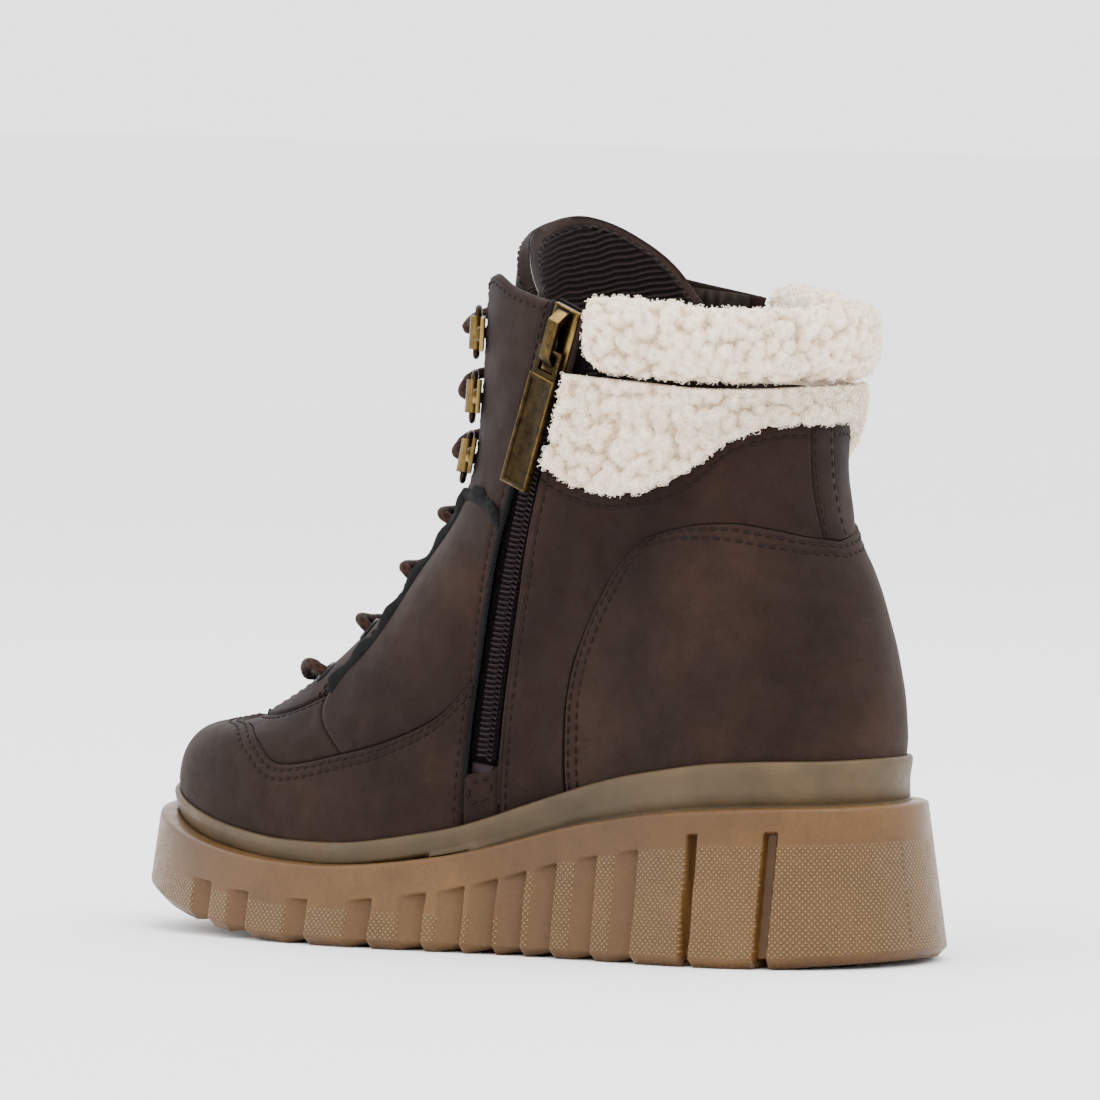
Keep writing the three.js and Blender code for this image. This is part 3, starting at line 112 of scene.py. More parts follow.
RING_ROWS = [(0.842, 33), (0.9, 33), (0.955, 33)]
GROOVES = (-80, -64, -41, -19, -2, 10, 20, 29, 39, 53, 67)
DEEP_GROOVES = (86, 107)


# ---- mathematics ----

def spline(xs, ys):
    """The same smooth curve through points as in the CAD source, for arrays."""
    xs, ys = np.asarray(xs, float), np.asarray(ys, float)
    step = np.diff(xs)
    slope = np.diff(ys) / step
    inner = (step[1:] * slope[:-1] + step[:-1] * slope[1:]) / (step[1:] + step[:-1])
    tangent = np.concatenate([slope[:1], inner, slope[-1:]])

    def value(x):
        x = np.clip(np.asarray(x, float), xs[0], xs[-1])
        i = np.clip(np.searchsorted(xs, x, side="right") - 1, 0, len(xs) - 2)
        h = xs[i + 1] - xs[i]
        u = (x - xs[i]) / h
        rise = (u**3 - 2 * u**2 + u) * h * tangent[i] + (u**3 - u**2) * h * tangent[i + 1]
        return ys[i] + (ys[i + 1] - ys[i]) * (3 * u**2 - 2 * u**3) + rise

    return value


keys = [row[0] for row in SECTIONS]
front_y, front_rise = (spline(keys, [row[1][k] for row in SECTIONS]) for k in (0, 1))
back_y, back_rise = (spline(keys, [row[2][k] for row in SECTIONS]) for k in (0, 1))
half_widths = [[spline(keys, [row[side][k] for row in SECTIONS]) for k in range(6)] for side in (3, 4)]
dip = spline(DIP_Y, DIP)
ledge_step = spline(LEDGE_Y, LEDGE_STEP)


def unit(v):
    return v / np.maximum(np.linalg.norm(v, axis=-1, keepdims=True), 1e-9)


def smooth(t):
    t = np.clip(t, 0, 1)
    return t * t * (3 - 2 * t)


def half_width(s, phi):
    turn = np.abs(phi) / 36
    i = np.clip(turn.astype(int), 0, 4)
    u = turn - i
    total = np.zeros_like(s)
    for side, mask in ((0, phi >= 0), (1, phi < 0)):
        rows = np.array([value(s) for value in half_widths[side]])
        slope = np.diff(rows, axis=0)
        tangent = np.concatenate([slope[:1], (slope[:-1] + slope[1:]) / 2, slope[-1:]])
        pick = lambda a, k: np.take_along_axis(a, k[None], 0)[0]
        a, b = pick(rows, i), pick(rows, i + 1)
        bend = (u**3 - 2 * u**2 + u) * pick(tangent, i) + (u**3 - u**2) * pick(tangent, i + 1)
        total = np.where(mask, a + (b - a) * (3 * u**2 - 2 * u**3) + bend, total)
    return total


def form_inside(s, phi):
    turn = np.radians(np.abs(phi))
    back = (1 - np.cos(turn)) / 2
    y = front_y(s) * (1 - back) + back_y(s) * back
    lean = TOE_LEAN * np.clip((-y - 40) / 80, 0, 1) ** 1.5
    x = np.sign(phi) * half_width(s, phi) * np.sin(turn) + lean
    sag = dip(y) * smooth(1 - s / 0.55) * np.sqrt(np.maximum(np.sin(turn), 0))
    z = (TOE_SEAT + front_rise(s)) * (1 - back) + (HEEL_SEAT + back_rise(s)) * back + sag
    return np.stack([x, y, z], -1)


def form(s, phi):
    s, phi = np.broadcast_arrays(np.asarray(s, float), np.asarray(phi, float))
    phi = (phi + 180) % 360 - 180
    edge = form_inside(np.clip(s, 0, 1), phi)
    run = form_inside(np.ones_like(s), phi) - form_inside(np.full_like(s, 0.98), phi)
    return edge + run * (np.maximum(s - 1, 0) / 0.02)[..., None]


def form_normal(s, phi):
    around = form(s, phi + 1) - form(s, phi - 1)
    up = form(s + 0.01, phi) - form(np.maximum(s - 0.01, 0), phi)
    return unit(np.cross(around, up))


def on_form(s, phi, lift):
    s, phi = np.broadcast_arrays(np.asarray(s, float), np.asarray(phi, float))
    return form(s, phi) + form_normal(s, phi) * np.asarray(lift, float)[..., None]


def plan(s, phi, outward):
    """A point of the plan outline, moved outwards on the level."""
    s, phi = np.broadcast_arrays(np.asarray(s, float), np.asarray(phi, float))
    along = form(s, phi + 1) - form(s, phi - 1)
    out = unit(np.stack([along[..., 1], -along[..., 0], np.zeros_like(s)], -1))
    return form(s, phi) + out * np.asarray(outward, float)[..., None]


def rocker(y):
    toe = np.clip((-45 - y) / 90, 0, 1)
    heel = np.clip((y - 98) / 35, 0, 1)
    return TOE_SPRING * toe**1.8 + HEEL_LIFT * heel**1.5


def ledge_height(phi):
    foot = form(0, phi)
    return foot[..., 2] + ledge_step(foot[..., 1])


# ---- seam curves: functions of t that give s and phi ----

def line(points):
    p = np.array(points, float)
    reach = np.hypot(np.diff(p[:, 0]) * 150, np.diff(p[:, 1]) * 0.7)
    at = np.concatenate([[0], np.cumsum(reach)]) / reach.sum()
    s, phi = spline(at, p[:, 0]), spline(at, p[:, 1])
    curve = lambda t: np.stack([s(t), phi(t)], -1)
    curve.at = at
    return curve


def when_phi(curve, angle):
    t = np.linspace(0, 1, 2001)
    return float(np.interp(angle, curve(t)[:, 1], t))


def part(curve, start, end):
    return lambda t: curve(start + (end - start) * np.asarray(t, float))


def between(a, b):
    a, b = np.asarray(a, float), np.asarray(b, float)
    return lambda t: a + (b - a) * np.asarray(t, float)[..., None]


def on_side(curve, side):
    return curve if side > 0 else lambda t: curve(t) * np.array([1, -1])


def round_front(lateral_curve, medial_curve):
    def curve(t):
        t = np.asarray(t, float)
        left = on_side(lateral_curve, -1)(np.clip(1 - 2 * t, 0, 1))
        return np.where((t < 0.5)[..., None], left, medial_curve(np.clip(2 * t - 1, 0, 1)))
    return curve


def round_back(near, far):
    def curve(t):
        t = np.asarray(t, float)
        other = far(np.clip(2 - 2 * t, 0, 1)) * np.array([1, -1]) + np.array([0, 360])
        return np.where((t <= 0.5)[..., None], near(np.clip(2 * t, 0, 1)), other)
    return curve


def zip_arc():
    p = form(*np.array(ZIP_POINTS, float).T)
    rows = np.array([[q[1] - r[1], q[2] - r[2]] for q, r in ((p[0], p[1]), (p[1], p[2]))])
    sums = [(q[1] ** 2 - r[1] ** 2 + q[2] ** 2 - r[2] ** 2) / 2 for q, r in ((p[0], p[1]), (p[1], p[2]))]
    y, z = np.linalg.solve(rows, sums)
    return y, z, math.hypot(p[0][1] - y, p[0][2] - z), p[:, 0].min()


ZIP_Y, ZIP_Z, ZIP_RADIUS, ZIP_X = zip_arc()
TAPE_X = ZIP_X - 2.45
COIL_X = TAPE_X + 0.85
ZIP_TOP = float(form(1, ZIP_POINTS[2][1])[2]) - 1


def zip_angle(height):
    return math.asin((height - ZIP_Z) / ZIP_RADIUS)


def zip_point(angle, ahead, x):
    reach = ZIP_RADIUS + ahead
    return np.stack(np.broadcast_arrays(x, ZIP_Y - reach * np.cos(angle), ZIP_Z + reach * np.sin(angle)), -1)


def zip_phi(s, ahead):
    s = np.asarray(s, float)
    low, high = np.full(s.shape, 50.0), np.full(s.shape, 130.0)
    for _ in range(30):
        middle = (low + high) / 2
        p = form(s, middle)
        short = ZIP_RADIUS + ahead < np.hypot(p[..., 1] - ZIP_Y, p[..., 2] - ZIP_Z)
        low, high = np.where(short, middle, low), np.where(short, high, middle)
    return low


def zip_line(s0, s1, ahead):
    def curve(t):
        s = s0 + (s1 - s0) * np.asarray(t, float)
        return np.stack([s, zip_phi(s, ahead)], -1)
    return curve


def zip_side(s0, s1, side, ahead, gap=0.0):
    return on_side(zip_line(s0, s1, ahead * (SLIT - gap) if side > 0 else 0), side)


def zip_end(s, side, ahead):
    return (s, abs(float(zip_side(s, s, side, ahead)(0.0)[1])))


def seams(side):
    return {
        "tip": line([*TIP_LINE, *ARCH_LINE[1:], zip_end(ARCH_END, side, 1)]),
        "edge": line([ARCH_LINE[0], THROAT[-1], *EDGE_LINE]),
        "arch": line([*FACING_ARCH, zip_end(FACING_END, side, 1)]),
        "sherpa": line([zip_end(SHERPA_START, side, -1.15), *SHERPA_LOW]),
        "cuff": line([zip_end(CUFF_START, side, -1.15), *CUFF_LINE]),
    }


SIDES = {"medial": 1, "lateral": -1}
SEAMS = {side: seams(side) for side in SIDES.values()}
counter = line(COUNTER_LINE)
throat = line(THROAT)
front_run = spline(*zip(*FRONT_EDGE))
front_edge = lambda s0, s1, side: lambda t: np.stack(
    [s0 + (s1 - s0) * np.asarray(t, float), side * front_run(s0 + (s1 - s0) * np.asarray(t, float))], -1)


# ---- meshes ----

def store(name, points, faces, slot, material, body="boot", replaces=(), attributes=None):
    """A mesh piece from points in millimetres, riding on a CAD body."""
    mesh = bpy.data.meshes.new(name)
    co = (np.asarray(points, float).reshape(-1, 3) + SHIFT) * MM
    mesh.from_pydata(co.tolist(), [], np.asarray(faces).tolist() if len(faces) else [])
    for key, values in (attributes or {}).items():
        values = np.asarray(values, np.float32)
        kind = "FLOAT_VECTOR" if values.ndim == 2 else "FLOAT"
        layer = mesh.attributes.new(key, kind, "POINT")
        layer.data.foreach_set("vector" if values.ndim == 2 else "value", values.ravel())
    mesh.validate()
    mesh.shade_smooth()
    obj = bpy.data.objects.new(name, mesh)
    bpy.context.collection.objects.link(obj)
    return dress(obj, slot, material, body, replaces)


def dress(obj, slot, material, body="boot", replaces=()):
    obj.data.materials.clear()
    obj.data.materials.append(material)
    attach(obj, body)
    if replaces:
        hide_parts(*replaces)
    return obj


def grid_faces(n, m, start=0, wrap=False, flip=False):
    """Quads of an n by m grid of points stored column by column."""
    i = np.arange(n if wrap else n - 1)[:, None]
    j = np.arange(m - 1)[None, :]
    a = start + i * m + j
    b = start + ((i + 1) % n) * m + j
    quads = np.stack([a, b, b + 1, a + 1], -1).reshape(-1, 4)
    return quads[:, ::-1] if flip else quads


class Patch:
    """A panel of the form between four curves, sampled about every `step` millimetres."""

    def __init__(self, bottom, top, left, right, step=0.9, gap=(0.3, 0.3, 0.3, 0.3)):
        t = np.linspace(0, 1, 60)
        length = lambda c: np.linalg.norm(np.diff(form(*c(t).T), axis=0), axis=1).sum()
        wide, tall = max(length(bottom), length(top)), max(length(left), length(right))
        u = np.linspace(0, 1, max(int(wide / step), 6) + 1)
        v = np.linspace(0, 1, max(int(tall / step), 4) + 1)
        low, high, start, end = bottom(u), top(u), left(v), right(v)
        U, V = u[:, None, None], v[None, :, None]
        edges = low[:, None] * (1 - V) + high[:, None] * V + start[None] * (1 - U) + end[None] * U
        corners = (low[0] * (1 - U) + low[-1] * U) * (1 - V) + (high[0] * (1 - U) + high[-1] * U) * V
        spot = edges - corners
        base = form(spot[..., 0], spot[..., 1])
        du = np.linalg.norm(np.diff(base, axis=0), axis=-1)
        dv = np.linalg.norm(np.diff(base, axis=1), axis=-1)
        pad = lambda d, axis: np.concatenate([np.zeros_like(d.take([0], axis)), np.cumsum(d, axis)], axis)
        across, rise = pad(du, 0), pad(dv, 1)
        self.to_left, self.to_right = across, across[-1:] - across
        self.to_bottom, self.to_top = rise, rise[:, -1:] - rise
        self.s, self.phi = spot[..., 0], spot[..., 1]
        self.base, self.normal = base, form_normal(self.s, self.phi)
        self.gap = gap

    def distance(self):
        """Distance to the nearest of the edges that show, in millimetres."""
        sides = (self.to_bottom, self.to_top, self.to_left, self.to_right)
        near = np.full(self.s.shape, 1e3)
        for side, gap in zip(sides, self.gap):
            if gap is not None:
                near = np.minimum(near, side - gap)
        return near

    def row(self, edge, inset, lift=0.0):
        """Points and normals along an edge, a distance in from it."""
        names = {"bottom": (self.to_bottom, 1), "top": (self.to_top, 1),
                 "left": (self.to_left, 0), "right": (self.to_right, 0)}
        far, axis = names[edge]
        place = self.surface if hasattr(self, "surface") else self.base
        if axis == 0:
            far, place, normal = far.T, place.transpose(1, 0, 2), self.normal.transpose(1, 0, 2)
        else:
            normal = self.normal
        points, normals = [], []
        for k in range(far.shape[0]):
            d = far[k]
            order = slice(None) if d[0] < d[-1] else slice(None, None, -1)
            blend = [np.interp(inset, d[order], a[k, order, c]) for a in (place, normal) for c in range(3)]
            points.append(blend[:3])
            normals.append(blend[3:])
        points, normals = np.array(points), unit(np.array(normals))
        return points + normals * lift, normals


def wander(p, size, seed=0):
    """A slow, smooth, repeatable unevenness between about -1 and 1."""
    rng = np.random.default_rng(seed)
    total = np.zeros(p.shape[:-1])
    for _ in range(7):
        way = unit(rng.normal(size=3)) * 2 * math.pi / (size * rng.uniform(0.7, 1.6))
        total += np.sin(p @ way + rng.uniform(0, 6.3))
    return total / 3.5


def shell(name, patch, outer, inner, slot, material, body="boot", replaces=(), rows=(), roll=1.0,
          puff=0.0, wrinkle=0.12, closed=False):
    """A leather or cloth panel: rolled edges, a dent along each row of stitches, a little unevenness."""
    d = patch.distance()
    edge = np.sqrt(np.clip(1 - (1 - np.clip(d / roll, 0, 1)) ** 2, 0, 1))
    top = inner + (outer - inner) * (0.25 + 0.75 * edge)
    top += puff * smooth((d - 4) / 10) + wrinkle * wander(patch.base, 16, len(name)) * smooth(d / 6)
    for side, inset in rows:
        far = {"bottom": patch.to_bottom, "top": patch.to_top, "left": patch.to_left, "right": patch.to_right}
        top -= 0.28 * np.exp(-(((far[side] - inset) / 0.55) ** 2)) * smooth(d / 1.2)
    patch.surface = patch.base + patch.normal * top[..., None]
    n, m = patch.s.shape
    low = patch.base + patch.normal * inner
    points = [patch.surface.reshape(-1, 3)]
    faces = [grid_faces(n, m)]
    if closed:
        points.append(low.reshape(-1, 3))
        faces.append(grid_faces(n, m, n * m, flip=True))
        below = lambda i, j: n * m + i * m + j
    else:
        ring = np.concatenate([low[:, 0], low[-1, 1:], low[::-1, -1][1:], low[0, ::-1][1:-1]])
        points.append(ring)
    rim = [(i, 0) for i in range(n)] + [(n - 1, j) for j in range(1, m)]
    rim += [(i, m - 1) for i in range(n - 2, -1, -1)] + [(0, j) for j in range(m - 2, 0, -1)]
    skirt = []
    for k, (i, j) in enumerate(rim):
        i2, j2 = rim[(k + 1) % len(rim)]
        a, b = i * m + j, i2 * m + j2
        c, e = (below(i2, j2), below(i, j)) if closed else (n * m + (k + 1) % len(rim), n * m + k)
        skirt.append((b, a, e, c))
    faces.append(np.array(skirt))
    return store(name, np.concatenate(points), np.concatenate(faces), slot, material, body, replaces)


def resample(points, pitch):
    """Indices as fractions, and so places, evenly spaced along a polyline."""
    reach = np.concatenate([[0], np.cumsum(np.linalg.norm(np.diff(points, axis=0), axis=1))])
    count = max(int(reach[-1] / pitch), 1)
    return np.interp((np.arange(count) + 0.5) * reach[-1] / count, reach, np.arange(len(points)))


def pick(values, at):
    low = np.clip(at.astype(int), 0, len(values) - 2)
    w = (at - low)[:, None]
    return values[low] * (1 - w) + values[low + 1] * w


threads = {}


def stitch(points, normals, group, pitch=3.0, length=2.3, radius=0.36):
    """A row of single stitches, each a short thread that dips into the leather at both ends."""
    at = resample(points, pitch)
    centre, normal = pick(points, at), unit(pick(normals, at))
    after, before = np.clip(at + 0.5, 0, len(points) - 1), np.clip(at - 0.5, 0, None)
    ahead = unit(pick(points, after) - pick(points, before))
    side = unit(np.cross(normal, ahead))
    ts = np.linspace(-1, 1, 7)
    ring = np.linspace(0, 2 * math.pi, 6, endpoint=False)
    round_ = radius * np.sqrt(np.clip(1 - (0.92 * ts) ** 4, 0, 1))
    height = 0.1 - 0.45 * ts**4
    points_ = (centre[:, None, None] + ahead[:, None, None] * (ts * length / 2)[None, :, None, None]
               + normal[:, None, None] * (height[None, :, None, None]
                                          + (round_[:, None] * np.sin(ring))[None, :, :, None])
               + side[:, None, None] * (round_[:, None] * np.cos(ring))[None, :, :, None])
    threads.setdefault(group, []).append(points_)


def tubes_faces(count, rings, sides):
    """Faces of many equal open tubes stored one after another."""
    i = np.arange(rings - 1)[:, None]
    j = np.arange(sides)[None, :]
    one = np.stack([i * sides + j, i * sides + (j + 1) % sides,
                    (i + 1) * sides + (j + 1) % sides, (i + 1) * sides + j], -1).reshape(-1, 4)
    return (one[None] + (np.arange(count) * rings * sides)[:, None, None]).reshape(-1, 4)


def tube(path, radius, sides=12, closed=False, wave=None):
    """Points and faces of a tube along a dense path; wave(k, angle) changes its radius."""
    path = np.asarray(path, float)
    ahead = np.roll(path, -1, 0) - np.roll(path, 1, 0) if closed else np.gradient(path, axis=0)
    ahead = unit(ahead)
    side = np.zeros_like(path)
    guess = np.cross(ahead[0], [0.3, 0.2, 1.0])
    for k, way in enumerate(ahead):
        guess = guess - way * (guess @ way)
        guess = guess / np.linalg.norm(guess)
        side[k] = guess
    up = np.cross(ahead, side)
    angle = np.linspace(0, 2 * math.pi, sides, endpoint=False)
    r = np.broadcast_to(radius, (len(path),))[:, None] * np.ones(sides)
    if wave is not None:
        r = r + wave(np.arange(len(path))[:, None], angle[None, :])
    points = (path[:, None] + side[:, None] * (r * np.cos(angle))[..., None]
              + up[:, None] * (r * np.sin(angle))[..., None])
    n = len(path)
    i = np.arange(n if closed else n - 1)[:, None]
    j = np.arange(sides)[None, :]
    faces = np.stack([i * sides + j, ((i + 1) % n) * sides + j, ((i + 1) % n) * sides + (j + 1) % sides,
                      i * sides + (j + 1) % sides], -1).reshape(-1, 4)
    return points.reshape(-1, 3), faces


def dense(points, step=0.6):
    """A smooth curve through points, with about `step` millimetres between the new ones."""
    p = np.asarray(points, float)
    reach = np.concatenate([[0], np.cumsum(np.linalg.norm(np.diff(p, axis=0), axis=1))])
    t = np.linspace(0, reach[-1], int(reach[-1] / step) + 2)
    return np.stack([spline(reach, p[:, k])(t) for k in range(3)], -1)


# ---- materials ----

class Shader:
    """A Principled material under construction, with short calls for its nodes."""

    def __init__(self, name, roughness, metallic=0.0, **sockets):
        self.material = bpy.data.materials.new(name)
        self.material.use_nodes = True
        self.tree = self.material.node_tree
        self.main = self.tree.nodes["Principled BSDF"]
        self.main.inputs["Roughness"].default_value = roughness
        self.main.inputs["Metallic"].default_value = metallic
        for key, value in sockets.items():
            self.main.inputs[key.replace("_", " ")].default_value = value
        self.place = self.tree.nodes.new("ShaderNodeTexCoord").outputs["Object"]
        self.bumps = None

    def node(self, kind, inputs=(), **settings):
        made = self.tree.nodes.new(kind)
        for key, value in settings.items():
            setattr(made, key, value)
        for key, value in dict(inputs).items():
            if isinstance(value, bpy.types.NodeSocket):
                self.tree.links.new(value, made.inputs[key])
            else:
                made.inputs[key].default_value = value
        return made

    def noise(self, size, detail=3.0, roughness=0.6):
        """Noise whose features are about `size` millimetres."""
        return self.node("ShaderNodeTexNoise", {"Vector": self.place, "Scale": 1000 / size, "Detail": detail,
                                                "Roughness": roughness}).outputs[0]

    def attribute(self, name, kind="Fac"):
        return self.node("ShaderNodeAttribute", attribute_name=name).outputs[kind]

    def math(self, operation, a, b=0.0):
        return self.node("ShaderNodeMath", {0: a, 1: b}, operation=operation).outputs[0]

    def ramp(self, value, *stops):
        """Colours or greys between (place, colour) stops."""
        node = self.node("ShaderNodeValToRGB", {"Fac": value})
        marks = node.color_ramp.elements
        while len(marks) < len(stops):
            marks.new(0.5)
        for mark, (at, colour) in zip(marks, stops):
            mark.position = at
            mark.color = rgb(colour) if isinstance(colour, str) else (colour, colour, colour, 1)
        return node.outputs[0]

    def mix(self, factor, a, b, blend="MIX"):
        node = self.node("ShaderNodeMix", data_type="RGBA", blend_type=blend)
        for socket, value in ((node.inputs[0], factor), (node.inputs[6], a), (node.inputs[7], b)):
            if isinstance(value, bpy.types.NodeSocket):
                self.tree.links.new(value, socket)
            else:
                socket.default_value = rgb(value) if isinstance(value, str) else value
        return node.outputs[2]

    def bump(self, height, distance, strength=1.0):
        """Adds relief of about `distance` millimetres on top of what is there."""
        node = self.node("ShaderNodeBump", {"Height": height, "Distance": distance * MM,
                                            "Strength": strength})
        if self.bumps:
            self.tree.links.new(self.bumps, node.inputs["Normal"])
        self.bumps = node.outputs[0]

    def finish(self, **links):
        for key, value in links.items():
            self.tree.links.new(value, self.main.inputs[key.replace("_", " ")])
        if self.bumps:
            self.tree.links.new(self.bumps, self.main.inputs["Normal"])
        return self.material


def rgb(text):
    """A screen colour such as 'a07a52' as linear numbers."""
    parts = [int(text[k:k + 2], 16) / 255 for k in (0, 2, 4)]
    return tuple(c / 12.92 if c <= 0.04045 else ((c + 0.055) / 1.055) ** 2.4 for c in parts) + (1.0,)


def nubuck(name, dark, middle, light):
    m = Shader(name, 0.86, Sheen_Weight=0.03, Sheen_Roughness=0.5, Specular_IOR_Level=0.1)
    clouds = m.ramp(m.noise(38, 5, 0.62), (0.3, dark), (0.52, middle), (0.78, light))
    fine = m.ramp(m.noise(0.55, 4, 0.75), (0.3, 0.78), (0.7, 1.18))
    scuff = m.ramp(m.noise(9, 7, 0.78), (0.6, 0.0), (0.75, 0.35))
    colour = m.mix(scuff, m.mix(1.0, clouds, fine, "MULTIPLY"), light)
    m.bump(m.noise(0.28, 2, 0.6), 0.05, 0.6)
    m.bump(m.noise(1.3, 5, 0.7), 0.12, 0.55)
    m.bump(m.noise(13, 3, 0.5), 0.5, 0.35)
    rough = m.ramp(m.noise(6, 5, 0.7), (0.3, 0.72), (0.7, 0.95))
    return m.finish(Base_Color=colour, Roughness=rough)


def gum():
    m = Shader("gum_rubber", 0.42, Subsurface_Weight=0.15, Subsurface_Scale=0.006, IOR=1.5,
               Specular_IOR_Level=0.25)
    m.main.inputs["Subsurface Radius"].default_value = (1.0, 0.55, 0.22)
    wall = m.node("ShaderNodeSeparateXYZ", {0: m.attribute("wall", "Vector")})
    pitch = math.pi / 1.65
    plus = m.math("MULTIPLY", m.math("ADD", wall.outputs[0], wall.outputs[1]), pitch)
    minus = m.math("MULTIPLY", m.math("SUBTRACT", wall.outputs[0], wall.outputs[1]), pitch)
    dots = m.math("MULTIPLY", m.math("SINE", plus), m.math("SINE", minus))
    peaks = m.math("MULTIPLY", m.math("POWER", m.math("ABSOLUTE", dots), 3.0), wall.outputs[2])
    clouds = m.ramp(m.noise(30, 4, 0.55), (0.3, "442e16"), (0.55, "53391c"), (0.8, "614524"))
    frost = m.attribute("frost")
    colour = m.mix(m.math("MULTIPLY", frost, 0.55), clouds, "54412f")
    colour = m.mix(m.math("MULTIPLY", wall.outputs[2], 0.35), colour, "45321c")
    # painted highlight: the knurl's peaks are lightened towards a pale tan, as if lit, on top of their bump
    colour = m.mix(m.math("MULTIPLY", peaks, 0.8), colour, "a88c5c")
    speck = m.ramp(m.noise(1.1, 5, 0.8), (0.35, 0.86), (0.65, 1.1))
    colour = m.mix(1.0, colour, speck, "MULTIPLY")
    m.bump(peaks, 0.7, 1.0)
    m.bump(m.noise(0.9, 5, 0.7), 0.05, 0.5)
    rough = m.mix(frost, m.ramp(m.noise(4, 4, 0.6), (0.3, 0.3), (0.7, 0.46)), (0.8, 0.8, 0.8, 1))
    return m.finish(Base_Color=colour, Roughness=rough)


def band():
    m = Shader("band_rubber", 0.45, Subsurface_Weight=0.1, Subsurface_Scale=0.003, Specular_IOR_Level=0.3)
    colour = m.ramp(m.noise(24, 5, 0.6), (0.3, "362a17"), (0.55, "43341e"), (0.8, "524128"))
    speck = m.ramp(m.noise(0.8, 4, 0.8), (0.3, 0.9), (0.7, 1.08))
    m.bump(m.noise(0.7, 4, 0.7), 0.04, 0.5)
    m.bump(m.noise(18, 3, 0.5), 0.3, 0.4)
    rough = m.ramp(m.noise(5, 5, 0.7), (0.3, 0.42), (0.7, 0.62))
    return m.finish(Base_Color=m.mix(1.0, colour, speck, "MULTIPLY"), Roughness=rough)


def fleece(name, shaded_root, middle, tip, glow=0.2):
    m = Shader(name, 1.0, Sheen_Weight=0.4 * glow, Sheen_Roughness=0.6, Subsurface_Weight=glow,
               Subsurface_Scale=0.003, Specular_IOR_Level=0.15)
    # painted shade: the pile is coloured by its height (the fluff attribute), darker down between the clumps and
    # lightest at their tops
    colour = m.ramp(m.attribute("fluff"), (0.0, shaded_root), (0.45, middle), (1.0, tip))
    patchy = m.ramp(m.noise(11, 4, 0.6), (0.3, 0.93), (0.7, 1.03))
    m.bump(m.noise(0.35, 4, 0.8), 0.12, 0.8)
    return m.finish(Base_Color=m.mix(1.0, colour, patchy, "MULTIPLY"))


def cloth(name, dark, light, pitch, roughness=0.9, ribs=None):
    """A woven or knitted cloth; ribs is the name of an attribute that counts its ribs."""
    m = Shader(name, roughness, Sheen_Weight=0.02, Specular_IOR_Level=0.08)
    place = m.node("ShaderNodeSeparateXYZ", {0: m.place})
    turn = 2000 * math.pi / pitch
    waves = [m.math("SINE", m.math("MULTIPLY", place.outputs[k], turn)) for k in range(3)]
    weave = m.math("MULTIPLY", m.math("ADD", waves[0], waves[1]), waves[2])
    if ribs:
        rib = m.math("SINE", m.math("MULTIPLY", m.attribute(ribs), 2 * math.pi))
        weave = m.math("ADD", m.math("MULTIPLY", weave, 0.3), rib)
    shade = m.ramp(weave, (0.0, dark), (0.8, light))
    dust = m.ramp(m.noise(0.6, 4, 0.8), (0.3, 0.8), (0.7, 1.15))
    m.bump(weave, 0.18, 0.7)
    m.bump(m.noise(0.3, 3, 0.7), 0.06, 0.6)
    return m.finish(Base_Color=m.mix(1.0, shade, dust, "MULTIPLY"))


def metal(name, dark, middle, worn, roughness=0.4):
    """Antique metal: dark in its hollows, bright where it wears."""
    m = Shader(name, roughness, 1.0)
    edge = m.node("ShaderNodeNewGeometry").outputs["Pointiness"]
    grain = m.math("MULTIPLY", m.noise(2.2, 6, 0.75), 0.09)
    wear = m.ramp(m.math("ADD", edge, grain), (0.565, 0.0), (0.66, 1.0))
    patina = m.ramp(m.noise(3.2, 6, 0.7), (0.35, dark), (0.65, middle))
    colour = m.mix(wear, patina, worn)
    rough = m.ramp(m.noise(1.4, 5, 0.75), (0.3, roughness - 0.12), (0.7, roughness + 0.18))
    m.bump(m.noise(0.7, 5, 0.75), 0.04, 0.5)
    return m.finish(Base_Color=colour, Roughness=rough)


def plain(name, dark, light, size, roughness):
    """Board, foam and other inner materials: mottled, with a fine grain."""
    m = Shader(name, roughness, Specular_IOR_Level=0.12)
    m.bump(m.noise(size, 4, 0.7), size * 0.2, 0.6)
    return m.finish(Base_Color=m.ramp(m.noise(size * 2, 5, 0.7), (0.3, dark), (0.7, light)))


def braid():
    m = Shader("lace_braid", 0.75, Sheen_Weight=0.03, Specular_IOR_Level=0.12)
    colour = m.ramp(m.attribute("strand"), (0.0, "0e0706"), (0.5, "20110c"), (1.0, "341e15"))
    m.bump(m.noise(0.25, 3, 0.7), 0.05, 0.8)
    return m.finish(Base_Color=colour)


M = {
    "nubuck": nubuck("nubuck_dark", "150c09", "1f130f", "2e1e16"),
    "nubuck_light": nubuck("nubuck_light", "180f0b", "221611", "302119"),
    "gum": gum(),
    "band": band(),
    "sherpa": fleece("sherpa_cream", "bb9f80", "e2ccb1", "f4e4cf"),
    "felt": fleece("fleece_lining", "100c0a", "1b1512", "28201c", glow=0.0),
    "rib": cloth("ribbed_knit", "0f0c0b", "2b2422", 0.55, ribs="rib"),
    "black": cloth("black_webbing", "0b0c0d", "1a1d1f", 0.7, 0.7),
    "tape": cloth("zip_tape", "0d090a", "1d1416", 0.5, 0.75),
    "raw": plain("raw_edge", "090909", "161617", 0.8, 0.95),
    "brass": metal("antique_brass", "1a150d", "352a18", "8c7140"),
    "steel": metal("shank_steel", "77777a", "96969a", "c8c8cc", 0.35),
    "coil": plain("coil_nylon", "120a0c", "23171a", 0.6, 0.42),
    "thread": plain("seam_thread", "0e0807", "1d130f", 0.25, 0.7),
    "board": plain("fibre_board", "9a8768", "c0ac88", 1.5, 0.9),
    "foam": plain("foam", "77736c", "9c978f", 0.9, 0.95),
    "lace": braid(),
    "eyelet": metal("black_eyelet", "0f1012", "24262a", "6d6a62", 0.45),
}

# ---- camera, first ----

